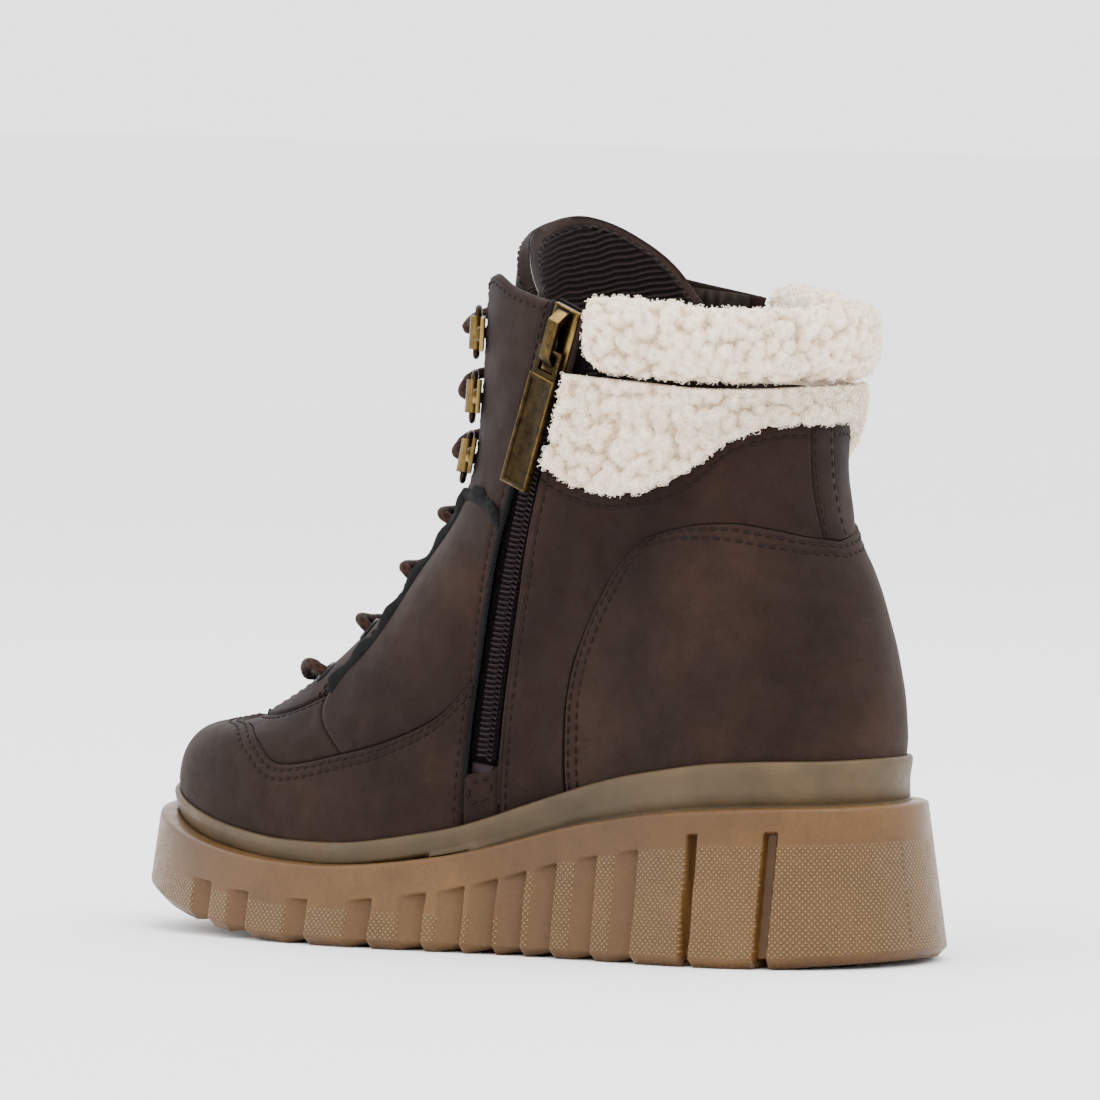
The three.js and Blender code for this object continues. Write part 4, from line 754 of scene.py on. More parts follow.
VIEW_AZIMUTH, VIEW_RISE = math.radians(132), math.radians(3.1)
DISTANCE, SENSOR, LENS = 4.0, 36.0, 484.3636  # metres from the boot; sensor and lens in millimetres
AIM_HEIGHT, AIM_ASIDE, AIM_ABOVE = 96, -0.5405, 10.0  # on the boot's middle line, then aside and up
AIM = Vector(((SHIFT + np.array([0, 0, AIM_HEIGHT])) * MM).tolist())
back = Vector((math.sin(VIEW_AZIMUTH) * math.cos(VIEW_RISE), -math.cos(VIEW_AZIMUTH) * math.cos(VIEW_RISE),
               math.sin(VIEW_RISE)))
look = (-back).to_track_quat("-Z", "Y")
across, upward = look @ Vector((1, 0, 0)), look @ Vector((0, 1, 0))
camera = bpy.data.objects.new("camera", bpy.data.cameras.new("camera"))
bpy.context.collection.objects.link(camera)
camera.data.sensor_width = SENSOR
camera.data.lens = LENS
camera.data.clip_end = 30
camera.rotation_mode = "QUATERNION"
camera.rotation_quaternion = look
camera.location = AIM + back * DISTANCE + (across * AIM_ASIDE + upward * AIM_ABOVE) * MM
bpy.context.scene.camera = camera


# ---- the sole unit ----

def groove_depth(p, height, top):
    """Depth of the lug grooves at points of the wall: square on the heel side, sloping out to the toe."""
    y = p[..., 1]
    depth, frost = np.zeros(y.shape), np.zeros(y.shape)
    up = smooth((top - 9 - height) / 1.2)
    for at in GROOVES:
        along = at - y  # from the square side towards the toe
        width = 8.5
        ramp = np.clip(1 - along / width, 0, 1)
        open_ = smooth((along + 0.25) / 0.5) * (along < width)
        depth = np.maximum(depth, 2.7 * open_ * ramp * up)
        frost = np.maximum(frost, open_ * up * (ramp > 0.03))
    tall = smooth((top - 6 - height) / 1.2)
    for at in DEEP_GROOVES:
        along = at - y
        open_ = smooth((along + 0.3) / 0.6) * smooth((3.3 - along) / 0.6)
        depth = np.maximum(depth, 4.6 * open_ * tall)
    return depth, frost


def make_outsole():
    count = 1500
    phi = np.linspace(-180, 180, count, endpoint=False)
    foot_s = 0.06
    wall_out = WALL_TOE + (WALL_HEEL - WALL_TOE) * (1 - np.cos(np.radians(np.abs(phi)))) / 2
    ledge = ledge_height(phi)
    low = plan(foot_s, phi, wall_out)
    ground = rocker(low[:, 1])
    rows = np.linspace(0, 1, 76)
    high = plan(foot_s, phi, LEDGE_OUT)
    low[:, 2], high[:, 2] = ground + BEVEL, ledge - 1.0
    wall = low[:, None] * (1 - rows)[None, :, None] + high[:, None] * rows[None, :, None]
    flat = unit(np.stack([*(plan(foot_s, phi, 1) - form(foot_s, phi))[:, :2].T, np.zeros(count)], -1))
    depth, frost = groove_depth(wall, wall[..., 2], np.broadcast_to(ledge[:, None], wall.shape[:2]))
    fade = smooth(rows / 0.02)[None, :] * smooth((1 - rows) / 0.05)[None, :]
    wall = wall - flat[:, None] * depth[..., None]
    # ledge, its rounded edge, and the groove that holds the band
    ring = lambda s, out, z: np.concatenate(
        [plan(s, phi, out)[:, :2], np.broadcast_to(z, (count,))[:, None]], 1)
    edge = [ring(foot_s, LEDGE_OUT - 0.35, ledge - 0.35), ring(foot_s, LEDGE_OUT - 1.2, ledge),
            ring(0.03, LEDGE_OUT - 3.0, ledge + 0.1), ring(0, OVERLAY + BAND + 1.5, ledge),
            ring(0, OVERLAY + BAND + 1.3, ledge - BAND_SET), ring(0, 1.5, ledge - BAND_SET)]
    # under side: bevel with serrations, then rings in to the middle with the tread cut in
    teeth = 0.35 * np.maximum(np.sin(np.arange(count) * 2 * math.pi / 5.0), 0) * smooth((low[:, 1] - 60) / 20)
    inner = plan(foot_s, phi, wall_out - BEVEL - teeth)
    inner[:, 2] = ground
    middle = np.stack([np.interp(inner[:, 1], [-129, 129], [6, 0]), np.clip(inner[:, 1], -96, 92)], -1)
    notch = depth[:, 0]
    inner -= flat * notch[:, None]
    under = []
    for t in np.linspace(0, 0.985, 46):
        xy = inner[:, :2] * (1 - t) + middle * t
        z = rocker(xy[:, 1])
        z = z + np.maximum(tread(xy) * smooth(t / 0.06), 0.75 * notch * (1 - smooth(t / 0.2)))
        under.append(np.concatenate([xy, z[:, None]], 1))
    columns = np.concatenate([np.stack(under[::-1], 1), wall, np.stack(edge, 1)], 1)
    n_under, m = len(under), columns.shape[1]
    reach = np.concatenate([[0], np.cumsum(np.linalg.norm(np.diff(low[:, :2], axis=0), axis=1))])
    knurl = np.zeros((count, m))
    w = wall
    height = w[..., 2] - ground[:, None]
    slant = w[..., 1] - (24 + 4 * (height - 10) / 10)
    tall = smooth(slant / 2) * smooth((ledge[:, None] - 9.5 - w[..., 2]) / 0.8)
    toe_panel = smooth((-100 - w[..., 1]) / 3) * smooth((ledge[:, None] - 3 - w[..., 2]) / 0.8)
    foot_band = smooth((10.5 - height) / 0.8)
    knurl[:, n_under:n_under + 76] = np.maximum(np.maximum(tall, toe_panel), foot_band) * (depth < 0.3) * fade
    rise = columns[..., 2]
    wall_map = np.stack([np.broadcast_to(reach[:, None], rise.shape), rise, knurl], -1)
    frosty = np.zeros((count, m))
    frosty[:, n_under:n_under + 76] = frost
    store("outsole_rubber", columns, grid_faces(count, m, wrap=True), "gum", M["gum"],
          replaces=["outsole"], attributes={"wall": wall_map.reshape(-1, 3), "frost": frosty.ravel()})


def tread(xy):
    """Height of the tread's grooves above its lugs: slanted bars with a broken middle channel."""
    x, y = xy[:, 0], xy[:, 1]
    bars = np.abs((y + 0.35 * np.abs(x) + 200) % 17 - 8.5)
    groove = smooth((2.3 - bars) / 0.7)
    channel = smooth((3.2 - np.abs(x - 3)) / 0.7) * smooth((60 - np.abs(y - 5)) / 3)
    return 2.4 * np.maximum(groove, channel)


def make_band():
    phi = np.linspace(-180, 180, 720, endpoint=False)
    rise = form(0.12, phi)[:, 2] - form(0, phi)[:, 2]
    level = lambda height: height / rise * 0.12
    base = ledge_height(phi) - BAND_SET
    near = OVERLAY + 0.4

    def foot(out, z):
        p = plan(0, phi, out)
        p[:, 2] = z
        return p

    out = near + BAND
    columns = np.stack([
        foot(near, base), foot(out + 0.7, base), foot(out + 0.75, base + BAND_SET - 0.2),
        foot(out + 0.3, base + BAND_SET + 0.35), foot(out + 0.75, base + BAND_SET + 0.9),
        on_form(np.maximum(level(2.2), 0.015), phi, out + 0.35), on_form(level(4.2), phi, out + 0.15),
        on_form(level(BAND_HEIGHT - 2), phi, out + 0.05), on_form(level(BAND_HEIGHT - 0.5), phi, out - 0.15),
        on_form(level(BAND_HEIGHT - 0.1), phi, out - 0.6), on_form(level(BAND_HEIGHT), phi, near + 0.4),
        on_form(level(BAND_HEIGHT - 0.4), phi, near - 0.4), on_form(level(1), phi, near - 0.6)], 1)
    columns[:, 5:, :] += 0.12 * wander(columns[:, 5:, :], 22, 4)[..., None] * np.array([0, 0, 1.0])
    store("foxing_band_rubber", columns, grid_faces(720, columns.shape[1], wrap=True), "band", M["band"],
          replaces=["foxing_band"])


# ---- the upper ----

def make_mudguard():
    right = zip_side(0, ARCH_END, 1, 1)
    left = zip_side(0, ARCH_END, -1, 1)
    patch = Patch(between(left(0.0), right(0.0)), round_front(SEAMS[-1]["tip"], SEAMS[1]["tip"]), left, right,
                  gap=(None, 0.1, 0.1, 0.1))
    rows = [("top", 2.0), ("top", 4.6)]
    shell("toe_mudguard_leather", patch, OVERLAY, 0, "nubuck_light", M["nubuck_light"],
          replaces=["toe_mudguard"], rows=rows, roll=0.9, puff=0.25)
    for edge, inset in rows:
        stitch(*patch.row(edge, inset), "boot")
    stitch(*patch.row("right", 2.4), "boot")


def make_vamp():
    foot = lambda side: part(SEAMS[side]["tip"], 0, SEAMS[side]["tip"].at[len(TIP_LINE) - 1])
    rib = lambda side: part(SEAMS[side]["edge"], 0, SEAMS[side]["edge"].at[1])
    patch = Patch(round_front(foot(-1), foot(1)), round_front(throat, throat), on_side(rib(-1), -1), rib(1),
                  gap=(-2.0, 0.1, 0.1, 0.1))
    shell("vamp_leather", patch, LEATHER, 0, "nubuck", M["nubuck"], replaces=["vamp"],
          rows=[("top", 1.8)], wrinkle=0.2, closed=True)
    stitch(*patch.row("top", 1.8), "boot")


def make_quarter(name, side):
    seam = SEAMS[side]
    foot = part(seam["tip"], seam["tip"].at[len(TIP_LINE) - 1], 1)
    patch = Patch(on_side(foot, side), on_side(seam["arch"], side), on_side(seam["edge"], side),
                  zip_side(ARCH_END, FACING_END, side, 1), gap=(-2.0, 0.1, -1.0, 0.1))
    shell(f"quarter_{name}_leather", patch, LEATHER, 0, "nubuck", M["nubuck"], replaces=[f"quarter_{name}"],
          rows=[("right", 2.4)], wrinkle=0.25)
    stitch(*patch.row("right", 2.4), "boot")


def make_front(name, side):
    """The eyestay and the facing above it, the two pieces that carry the lace."""
    seam = SEAMS[side]
    right = on_side(part(seam["edge"], seam["edge"].at[1], 1), side)
    left = front_edge(THROAT[1][0], EDGE_LINE[-1][0], side)
    stay = Patch(on_side(part(throat, throat.at[1], 1), side), between(left(1.0), right(1.0)), left, right,
                 gap=(0.1, 0.1, 0.1, 0.1))
    shell(f"eyestay_{name}_leather", stay, LEATHER + 0.35, 0, "nubuck", M["nubuck"], replaces=[f"eyestay_{name}"],
          rows=[("left", 2.2), ("right", 2.6)], wrinkle=0.15, closed=True)
    for edge, inset in (("left", 2.2), ("right", 2.6), ("right", 4.8)):
        stitch(*stay.row(edge, inset), "boot")
    left = front_edge(FACING_ARCH[0][0], 1, side)
    right = zip_side(FACING_END, 1, side, 1)
    arch = on_side(seam["arch"], side)
    foot = between(left(0.0), arch(0.0))

    def low(t):
        t = np.asarray(t, float)
        before, after = foot(np.clip(t / 0.25, 0, 1)), arch(np.clip((t - 0.25) / 0.75, 0, 1))
        return np.where((t < 0.25)[..., None], before, after)

    peak = part(line([tuple(left(1.0)), (1.012, side * 46), (1.006, side * 62), tuple(right(1.0))]), 0, 1)
    patch = Patch(low, peak, left, right, gap=(0.1, 0.1, 0.1, 0.1))
    shell(f"facing_{name}_leather", patch, LEATHER, -0.2, "nubuck", M["nubuck"], replaces=[f"facing_{name}"],
          rows=[("top", 2.4), ("left", 2.2), ("right", 2.4), ("bottom", 2.0)], wrinkle=0.2, closed=True)
    for edge, inset in (("top", 2.4), ("left", 2.2), ("right", 2.4), ("bottom", 2.0)):
        stitch(*patch.row(edge, inset), "boot")
    raw_edge(f"raw_edge_{name}", stay, patch)


def raw_edge(name, stay, facing):
    """The black, uneven cut edge that shows beside the eyestay and over the arch above it."""
    paths = [stay.row("right", 0.0, 0.2), facing.row("bottom", 0.0, 0.2)]
    points = np.concatenate([paths[0][0], paths[1][0][int(len(paths[1][0]) * 0.26):]])
    normals = np.concatenate([paths[0][1], paths[1][1][int(len(paths[1][1]) * 0.26):]])
    at = resample(points, 0.5)
    p, n = pick(points, at), unit(pick(normals, at))
    ahead = unit(np.gradient(p, axis=0))
    out = np.cross(n, ahead)
    away = np.sign((out * (p - stay.base[len(stay.base) // 2].mean(0))).sum(-1).mean()) * out
    step = np.arange(len(p)) * 0.5
    ends = smooth(step / 3) * smooth((step[-1] - step) / 3)
    wave = (2.3 + 0.8 * np.sin(step / 2.1) + 0.35 * np.sin(step / 0.9 + 1) + 0.5 * np.sin(step / 4.3)) * ends
    height = (0.8 + 0.55 * np.sin(step / 2.1 + 0.6)) * ends
    profile = []
    section = ((-1.5, 0.4), (-1.4, 1.2), (0.35, 1.6), (1.0, 1.15), (1.05, 0.5), (0.5, 0.1), (-1.4, 0.1))
    for reach, lift in section:
        aside = wave * max(reach, 0) + min(reach, 0)
        profile.append(p + away * aside[:, None] + n * (lift + height * (reach > 0))[:, None])
    columns = np.stack(profile, 1)
    store(name, columns, np.concatenate([grid_faces(len(p), 7), closing(len(p), 7)]), "black", M["raw"])


def closing(n, m):
    """Faces between the last and the first row of a grid, so its section is a ring."""
    i = np.arange(n - 1)
    return np.stack([i * m + m - 1, (i + 1) * m + m - 1, (i + 1) * m, i * m], -1)


def make_rear_quarter(name, side):
    sherpa = SEAMS[side]["sherpa"]
    left = zip_side(0, SHERPA_START, side, -1)
    strip = 180 - STRIP_HALF
    low_end, high_end = when_phi(counter, strip), when_phi(sherpa, strip)
    high_corner = when_phi(sherpa, COUNTER_LINE[5][1] - 8)
    foot = 2 / 24
    corner = foot + (1 - foot) * counter.at[5] / low_end
    low = on_side(part(counter, 0, low_end), side)
    entry = between(left(0.0), low(0.0))

    def bottom(t):
        t = np.asarray(t, float)
        return np.where((t < foot)[..., None], entry(np.clip(t / foot, 0, 1)),
                        low(np.clip((t - foot) / (1 - foot), 0, 1)))

    def top(t):
        t = np.asarray(t, float)
        near = high_corner * t / corner
        far = high_corner + (high_end - high_corner) * (t - corner) / (1 - corner)
        return on_side(sherpa, side)(np.where(t < corner, near, far))

    patch = Patch(bottom, top, left, between(low(1.0), top(1.0)), gap=(-2.0, -1.5, 0.1, -2.0))
    shell(f"rear_quarter_{name}_leather", patch, LEATHER, 0, "nubuck", M["nubuck"],
          replaces=[f"rear_quarter_{name}"], rows=[("top", 3.4), ("left", 2.4)], wrinkle=0.3)
    stitch(*patch.row("top", 3.4), "boot")
    stitch(*patch.row("left", 2.4), "boot")


def make_counter():
    corner = counter.at[5]
    flank = part(counter, 0, corner)
    crown = part(counter, corner, 1)
    far = lambda t: flank(t) * np.array([1, -1]) + np.array([0, 360])
    patch = Patch(between(flank(0.0), far(0.0)), round_back(crown, crown), flank, far, gap=(None, 0.1, 0.1, 0.1))
    rows = [("top", 2.2), ("top", 5.0), ("left", 2.2), ("left", 5.0), ("right", 2.2), ("right", 5.0)]
    shell("heel_counter_leather", patch, OVERLAY, 0, "nubuck_light", M["nubuck_light"],
          replaces=["heel_counter"], rows=rows, roll=1.0, puff=0.35)
    for edge, inset in rows:
        points, normals = patch.row(edge, inset)
        keep = slice(3, -3) if edge == "top" else slice(8, -6)
        stitch(points[keep], normals[keep], "boot")


def make_back_strip():
    ends = [part(c, when_phi(c, 180 - STRIP_HALF), 1) for c in (counter, SEAMS[1]["sherpa"])]
    low, high = [round_back(end, end) for end in ends]
    patch = Patch(low, high, between(low(0.0), high(0.0)), between(low(1.0), high(1.0)), step=0.6,
                  gap=(-1.0, -1.5, 0.1, 0.1))
    shell("back_strip_leather", patch, OVERLAY, 0, "nubuck", M["nubuck"], replaces=["back_strip"],
          rows=[("left", 1.4), ("right", 1.4)], wrinkle=0.1)
    for edge in ("left", "right"):
        stitch(*patch.row(edge, 1.4), "boot")


def make_linings():
    split, slit, turn = 0.4, 9.0, 84.0
    lift = LINING_TOP
    right = zip_line(0, split, slit)
    left = lambda t: np.stack([split * np.asarray(t, float), np.full(np.shape(t), -turn)], -1)
    vamp = Patch(between([0, -turn], right(0.0)), between([split, -turn], right(1.0)), left, right, step=1.3)
    made = [("vamp_lining", vamp)]
    for name, side in SIDES.items():
        back_ = zip_line(split, 1, slit) if side > 0 else between([split, -turn], [1, -turn])
        made.append((f"quarter_lining_{name}", Patch(
            between([split, side * 47], back_(0.0)), between([1, side * 47], back_(1.0)),
            between([split, side * 47], [1, side * 47]), back_, step=1.3)))
    near, far = [lambda t, c=SEAMS[k]["cuff"]: c(t) - np.array([0.02, 0]) for k in (1, -1)]
    left = zip_line(0, float(near(0.0)[0]), -slit)
    right = between([0, 360 - turn], [float(far(0.0)[0]), 360 - turn])
    top = round_back(near, far)
    a, b = left(1.0)[1] - top(0.0)[1], right(1.0)[1] - top(1.0)[1]
    slid = lambda t: top(t) + np.stack([np.zeros(np.shape(t)), a + (b - a) * np.asarray(t, float)], -1)
    made.append(("rear_lining", Patch(between(left(0.0), right(0.0)), slid, left, right, step=1.3)))
    for name, patch in made:
        d = patch.distance()
        fluff = 0.5 + 0.5 * wander(patch.base, 2.6, 3)
        outer = patch.base + patch.normal * lift
        depth = LINING * (0.4 + 0.6 * smooth(d / 2)) + 0.35 * fluff
        inner = patch.base + patch.normal * (lift - depth)[..., None]
        slab(f"{name}_fleece", outer, inner, "felt", M["felt"], replaces=[name],
             attributes={"fluff": np.concatenate([fluff.ravel(), fluff.ravel()])})


def seal(n, m):
    """The faces round the rim between two equal grids stored one after the other."""
    rim = [(i, 0) for i in range(n)] + [(n - 1, j) for j in range(1, m)]
    rim += [(i, m - 1) for i in range(n - 2, -1, -1)] + [(0, j) for j in range(m - 2, 0, -1)]
    flat = np.array([i * m + j for i, j in rim])
    after = np.roll(flat, -1)
    return np.stack([after, flat, flat + n * m, after + n * m], -1)


def slab(name, top, low, slot, material, body="boot", replaces=(), attributes=None):
    """A closed sheet between two grids of points."""
    n, m = top.shape[:2]
    faces = [grid_faces(n, m), grid_faces(n, m, n * m, flip=True), seal(n, m)]
    points = np.concatenate([top.reshape(-1, 3), low.reshape(-1, 3)])
    return store(name, points, np.concatenate(faces), slot, material, body, replaces, attributes)


# ---- the pile collar ----

def clump(points, spacing, seed):
    """Distance to the nearest of many scattered centres, as a share of their spacing."""
    rng = np.random.default_rng(seed)
    centres, taken = [], set()
    for k in rng.permutation(len(points)):
        key = tuple(np.floor(points[k] / spacing).astype(int))
        if key not in taken:
            taken.add(key)
            centres.append(points[k] + rng.normal(size=3) * spacing * 0.2)
    tree = KDTree(len(centres))
    for k, centre in enumerate(centres):
        tree.insert(centre, k)
    tree.balance()
    return np.array([tree.find(p)[2] for p in points]) / spacing


def woolly(points, normals):
    """Moves points of a pile surface into round clumps, and says how high each one is."""
    lumps = np.sqrt(np.clip(1 - (clump(points, 3.3, 11) / 0.66) ** 2, 0, 1))
    knots = np.sqrt(np.clip(1 - (clump(points, 1.9, 12) / 0.75) ** 2, 0, 1))
    height = 1.6 * lumps + 0.5 * knots + 0.25 * wander(points, 2.2, 5)
    return points + normals * (height - 1.1)[:, None], np.clip(height / 2.1, 0, 1)


def curls(name, points, normals, fluff, per_point, seed, body="boot", limit=15000):
    """Short curled fibres scattered over a pile surface."""
    rng = np.random.default_rng(seed)
    count = min(int(len(points) * per_point), limit)
    chosen = rng.choice(len(points), count, replace=False)
    centre, normal = points[chosen], normals[chosen]
    way = unit(rng.normal(size=(count, 3)))
    side = unit(way - normal * (way * normal).sum(-1, keepdims=True))
    lean = rng.uniform(-0.5, 0.5, (count, 1))
    up = unit(normal + np.cross(normal, side) * lean)
    third = np.cross(side, up)
    rings, sides = 7, 3
    t = np.linspace(0, 1, rings)
    arc = rng.uniform(2.6, 4.6, (count, 1)) * t + rng.uniform(-0.6, 0.6, (count, 1))
    radius = rng.uniform(0.3, 0.62, (count, 1))
    path = (centre[:, None] + side[:, None] * (radius * np.sin(arc))[..., None]
            + up[:, None] * (radius * (0.25 - np.cos(arc)))[..., None]
            + third[:, None] * (t * rng.uniform(-0.9, 0.9, (count, 1)))[..., None])
    ahead = unit(np.gradient(path, axis=1))
    across_ = unit(np.cross(ahead, third[:, None] + 0.01))
    other = np.cross(ahead, across_)
    thick = (0.15 * (1 - 0.5 * t**2))[None, :] * rng.uniform(0.8, 1.25, (count, 1))
    angle = np.linspace(0, 2 * math.pi, sides, endpoint=False)
    ring = (path[:, :, None] + across_[:, :, None] * (thick[..., None] * np.cos(angle))[..., None]
            + other[:, :, None] * (thick[..., None] * np.sin(angle))[..., None])
    shade = np.clip(fluff[chosen][:, None, None] * 0.8 + 0.12 + 0.15 * t[None, :, None] + 0 * angle, 0, 1)
    store(name, ring, tubes_faces(count, rings, sides), "sherpa", M["sherpa"], body,
          attributes={"fluff": np.broadcast_to(shade, (count, rings, sides)).ravel()})


def make_collar_panel():
    low = round_back(SEAMS[1]["sherpa"], SEAMS[-1]["sherpa"])
    high = round_back(SEAMS[1]["cuff"], SEAMS[-1]["cuff"])
    patch = Patch(low, high, between(low(0.0), high(0.0)), between(low(1.0), high(1.0)), step=0.75,
                  gap=(0.2, -7, -0.6, 0.2))
    d = patch.distance()
    roll = np.sqrt(np.clip(1 - (1 - np.clip(d / 3.4, 0, 1)) ** 2, 0, 1))
    sag = 0.5 * np.exp(-((patch.to_top / 2.5) ** 2))
    base = patch.base + patch.normal * (0.4 + (SHERPA - 0.9) * roll - sag)[..., None]
    n, m = patch.s.shape
    flat = base.reshape(-1, 3)
    normal = unit(np.cross(np.gradient(base, axis=0), np.gradient(base, axis=1))).reshape(-1, 3)
    moved, fluff = woolly(flat, normal)
    under = patch.base + patch.normal * 0.3
    slab("collar_panel_pile", moved.reshape(n, m, 3), under, "sherpa", M["sherpa"],
         replaces=["collar_panel"], attributes={"fluff": np.concatenate([fluff, np.full(n * m, 0.7)])})
    curls("collar_panel_curls", moved, normal, fluff, 0.9, 21)


CUFF_SHRINK, CUFF_CAP = 1.2, 2.2  # how much smaller the pad starts, and how far cloth may move it
CUFF_COARSE, CUFF_FINE = 4.2, 0.85  # mesh sizes for the cloth and for the pile
CLOTH_FRAMES, CLOTH_PRESSURE = 20, 4


def cuff_body():
    """The cuff's CAD solid, made slightly smaller and smooth, as a fine even mesh.

    A short cloth simulation with pressure also runs, but it moves the pad by less than 0.1 mm.
    """
    source = next(o for o in bpy.data.objects if o.get("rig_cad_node") == "collar_cuff")
    mesh = source.data.copy()
    mesh.transform(source.matrix_world)
    cuff = bpy.data.objects.new("collar_cuff_pile", mesh)
    bpy.context.collection.objects.link(cuff)
    modify(cuff, "REMESH", mode="VOXEL", voxel_size=CUFF_COARSE * MM)
    modify(cuff, "SMOOTH", factor=0.5, iterations=3)
    rest = points_of(cuff)
    set_points(cuff, rest - normals_of(cuff) * CUFF_SHRINK * MM)
    start = points_of(cuff)
    cloth = cuff.modifiers.new("fill", "CLOTH")
    cloth.settings.use_pressure = True
    cloth.settings.uniform_pressure_force = CLOTH_PRESSURE
    cloth.settings.mass = 0.15
    cloth.settings.effector_weights.gravity = 0
    scene = bpy.context.scene
    for number in range(1, CLOTH_FRAMES + 1):
        scene.frame_set(number)
    graph = bpy.context.evaluated_depsgraph_get()
    filled = cuff.evaluated_get(graph).data
    end = np.zeros(len(start) * 3)
    filled.vertices.foreach_get("co", end)
    move = end.reshape(-1, 3) - start
    far = np.linalg.norm(move, axis=1, keepdims=True)
    cuff.modifiers.remove(cloth)
    scene.frame_set(1)
    set_points(cuff, start + move * np.minimum(1, CUFF_CAP * MM / np.maximum(far, 1e-9)))
    modify(cuff, "SUBSURF", levels=1)
    modify(cuff, "REMESH", mode="VOXEL", voxel_size=CUFF_FINE * MM)
    modify(cuff, "SMOOTH", factor=0.5, iterations=6)
    return cuff


def modify(obj, kind, **settings):
    """Adds a modifier and applies it to the mesh."""
    made = obj.modifiers.new(kind.lower(), kind)
    for key, value in settings.items():
        setattr(made, key, value)
    graph = bpy.context.evaluated_depsgraph_get()
    result = bpy.data.meshes.new_from_object(obj.evaluated_get(graph), depsgraph=graph)
    obj.modifiers.clear()
    obj.data = result


def points_of(obj):
    co = np.zeros(len(obj.data.vertices) * 3)
    obj.data.vertices.foreach_get("co", co)
    return co.reshape(-1, 3)


def normals_of(obj):
    co = np.zeros(len(obj.data.vertices) * 3)
    obj.data.vertices.foreach_get("normal", co)
    return co.reshape(-1, 3)


def set_points(obj, points):
    obj.data.vertices.foreach_set("co", np.asarray(points, np.float32).ravel())
    obj.data.update()


def make_cuff():
    cuff = cuff_body()
    points, normals = points_of(cuff) / MM, normals_of(cuff)
    # the pile spreads a little past the seam at each end
    for side, spread, reach in ((1, 3.5, 16), (-1, 8, 45)):
        end = side * (float(zip_phi(1, -8.3)) + 1)
        ahead = unit(form(1, end - side) - form(1, end + side))
        away = ((form(1, end) + SHIFT - points) * ahead).sum(-1)
        near = smooth(1 - np.abs(away) / reach) * (points[:, 0] * side > 0)
        points = points + ahead * (spread * near)[:, None]
    moved, fluff = woolly(points, normals)
    set_points(cuff, moved * MM)
    layer = cuff.data.attributes.new("fluff", "FLOAT", "POINT")
    layer.data.foreach_set("value", fluff.astype(np.float32))
    cuff.data.shade_smooth()
    dress(cuff, "sherpa", M["sherpa"], replaces=["collar_cuff"])
    curls("collar_cuff_curls", moved - SHIFT, normals, fluff, 0.45, 22)


# ---- tongue ----

def make_tongue():
    foot_s, peak, half_top, neck = 0.385, 1.05, 57, 40
    half = spline([foot_s, 0.7, 1], [neck, 48, half_top])

    def edge(sign):
        def curve(t):
            s = foot_s + (1 - foot_s) * np.asarray(t, float)
            wing = 14 * smooth((s - 0.8) / 0.2) * (sign < 0)
            return np.stack([s - 0.012 * (sign < 0) * t, sign * (half(s) + wing)], -1)
        return curve

    top = line([(0.988, -71), (1.02, -60), (1.045, -42), (1.055, -24), (peak, 0),
                (peak - 0.015, half_top * 0.6), (1, half_top)])
    patch = Patch(between([foot_s, -neck], [foot_s, neck]), top, edge(-1), edge(1), step=0.8)
    d = patch.distance()
    n, m = patch.s.shape
    thick = TONGUE_THICK - 0.4
    round_ = np.sqrt(np.clip(1 - (1 - np.clip(d / 2.6, 0, 1)) ** 2, 0, 1))
    middle = TONGUE_TOP - TONGUE_THICK / 2
    crown = middle + (thick / 2 + 0.4) * round_ + 0.2 * wander(patch.base, 20, 8)
    front = patch.base + patch.normal * crown[..., None]
    ribs = (patch.base[..., 2] + 0.14 * patch.base[..., 0] + 0.5 * wander(patch.base, 14, 9)) / 1.7
    relief = 0.22 * np.sin(ribs * 2 * math.pi) * smooth((d - 2) / 2)
    inside = patch.base + patch.normal * (middle - (thick / 2 + 0.2) * round_ - relief)[..., None]
    slab("tongue_leather", front, inside, "nubuck", M["nubuck"], "tongue", replaces=["tongue_face"])
    lining = inside + patch.normal * (0.5 - 0.85 * smooth((d - 0.9) / 0.7))[..., None]
    store("tongue_rib_lining", lining, grid_faces(n, m, flip=True), "rib", M["rib"], "tongue",
          replaces=["tongue_lining"], attributes={"rib": ribs.ravel()})
    core = patch.base + patch.normal * middle
    foam_top = core + patch.normal * (0.6 * thick / 2 * round_)[..., None]
    foam_low = core - patch.normal * (0.5 * thick / 2 * round_)[..., None]
    pad = slab("tongue_pad", foam_top[::2, ::2], foam_low[::2, ::2], "foam", M["foam"], "tongue",
               replaces=["tongue_foam"])
    for side in ("left", "right", "top"):
        patch.surface = lining
        points, normals = patch.row(side, 2.4)
        stitch(points, -normals, "tongue")
        patch.surface = front
        points, normals = patch.row(side, 2.8)
        stitch(points, normals, "tongue")


def make_loop():
    """The webbing loop on the front of the tongue's top, a folded band with woven edges."""
    turn = np.linspace(-0.15, math.pi + 0.15, 28)
    widths = np.linspace(-4, 4, 11)
    frame_at = on_form(np.array([1.0]), np.array([0.0]), np.array([TONGUE_TOP + 0.4]))[0]
    normal = form_normal(np.array([1.0]), np.array([0.0]))[0]
    up = unit(form(1.01, 0.0) - form(0.99, 0.0))
    layers = []
    for thick in (0.0, 0.85):
        centre = (frame_at + normal * ((3.4 - thick) * np.sin(turn))[:, None]
                  + up * ((3.6 - thick) * np.cos(turn))[:, None])
        curve = centre[:, None] + np.array([1.0, 0, 0]) * widths[None, :, None]
        layers.append(curve + normal * (0.12 * np.cos(widths * 2.4))[None, :, None])
    slab("tongue_webbing_loop", *layers, "black", M["black"], "tongue", replaces=["tongue_loop"])


# ---- zip ----

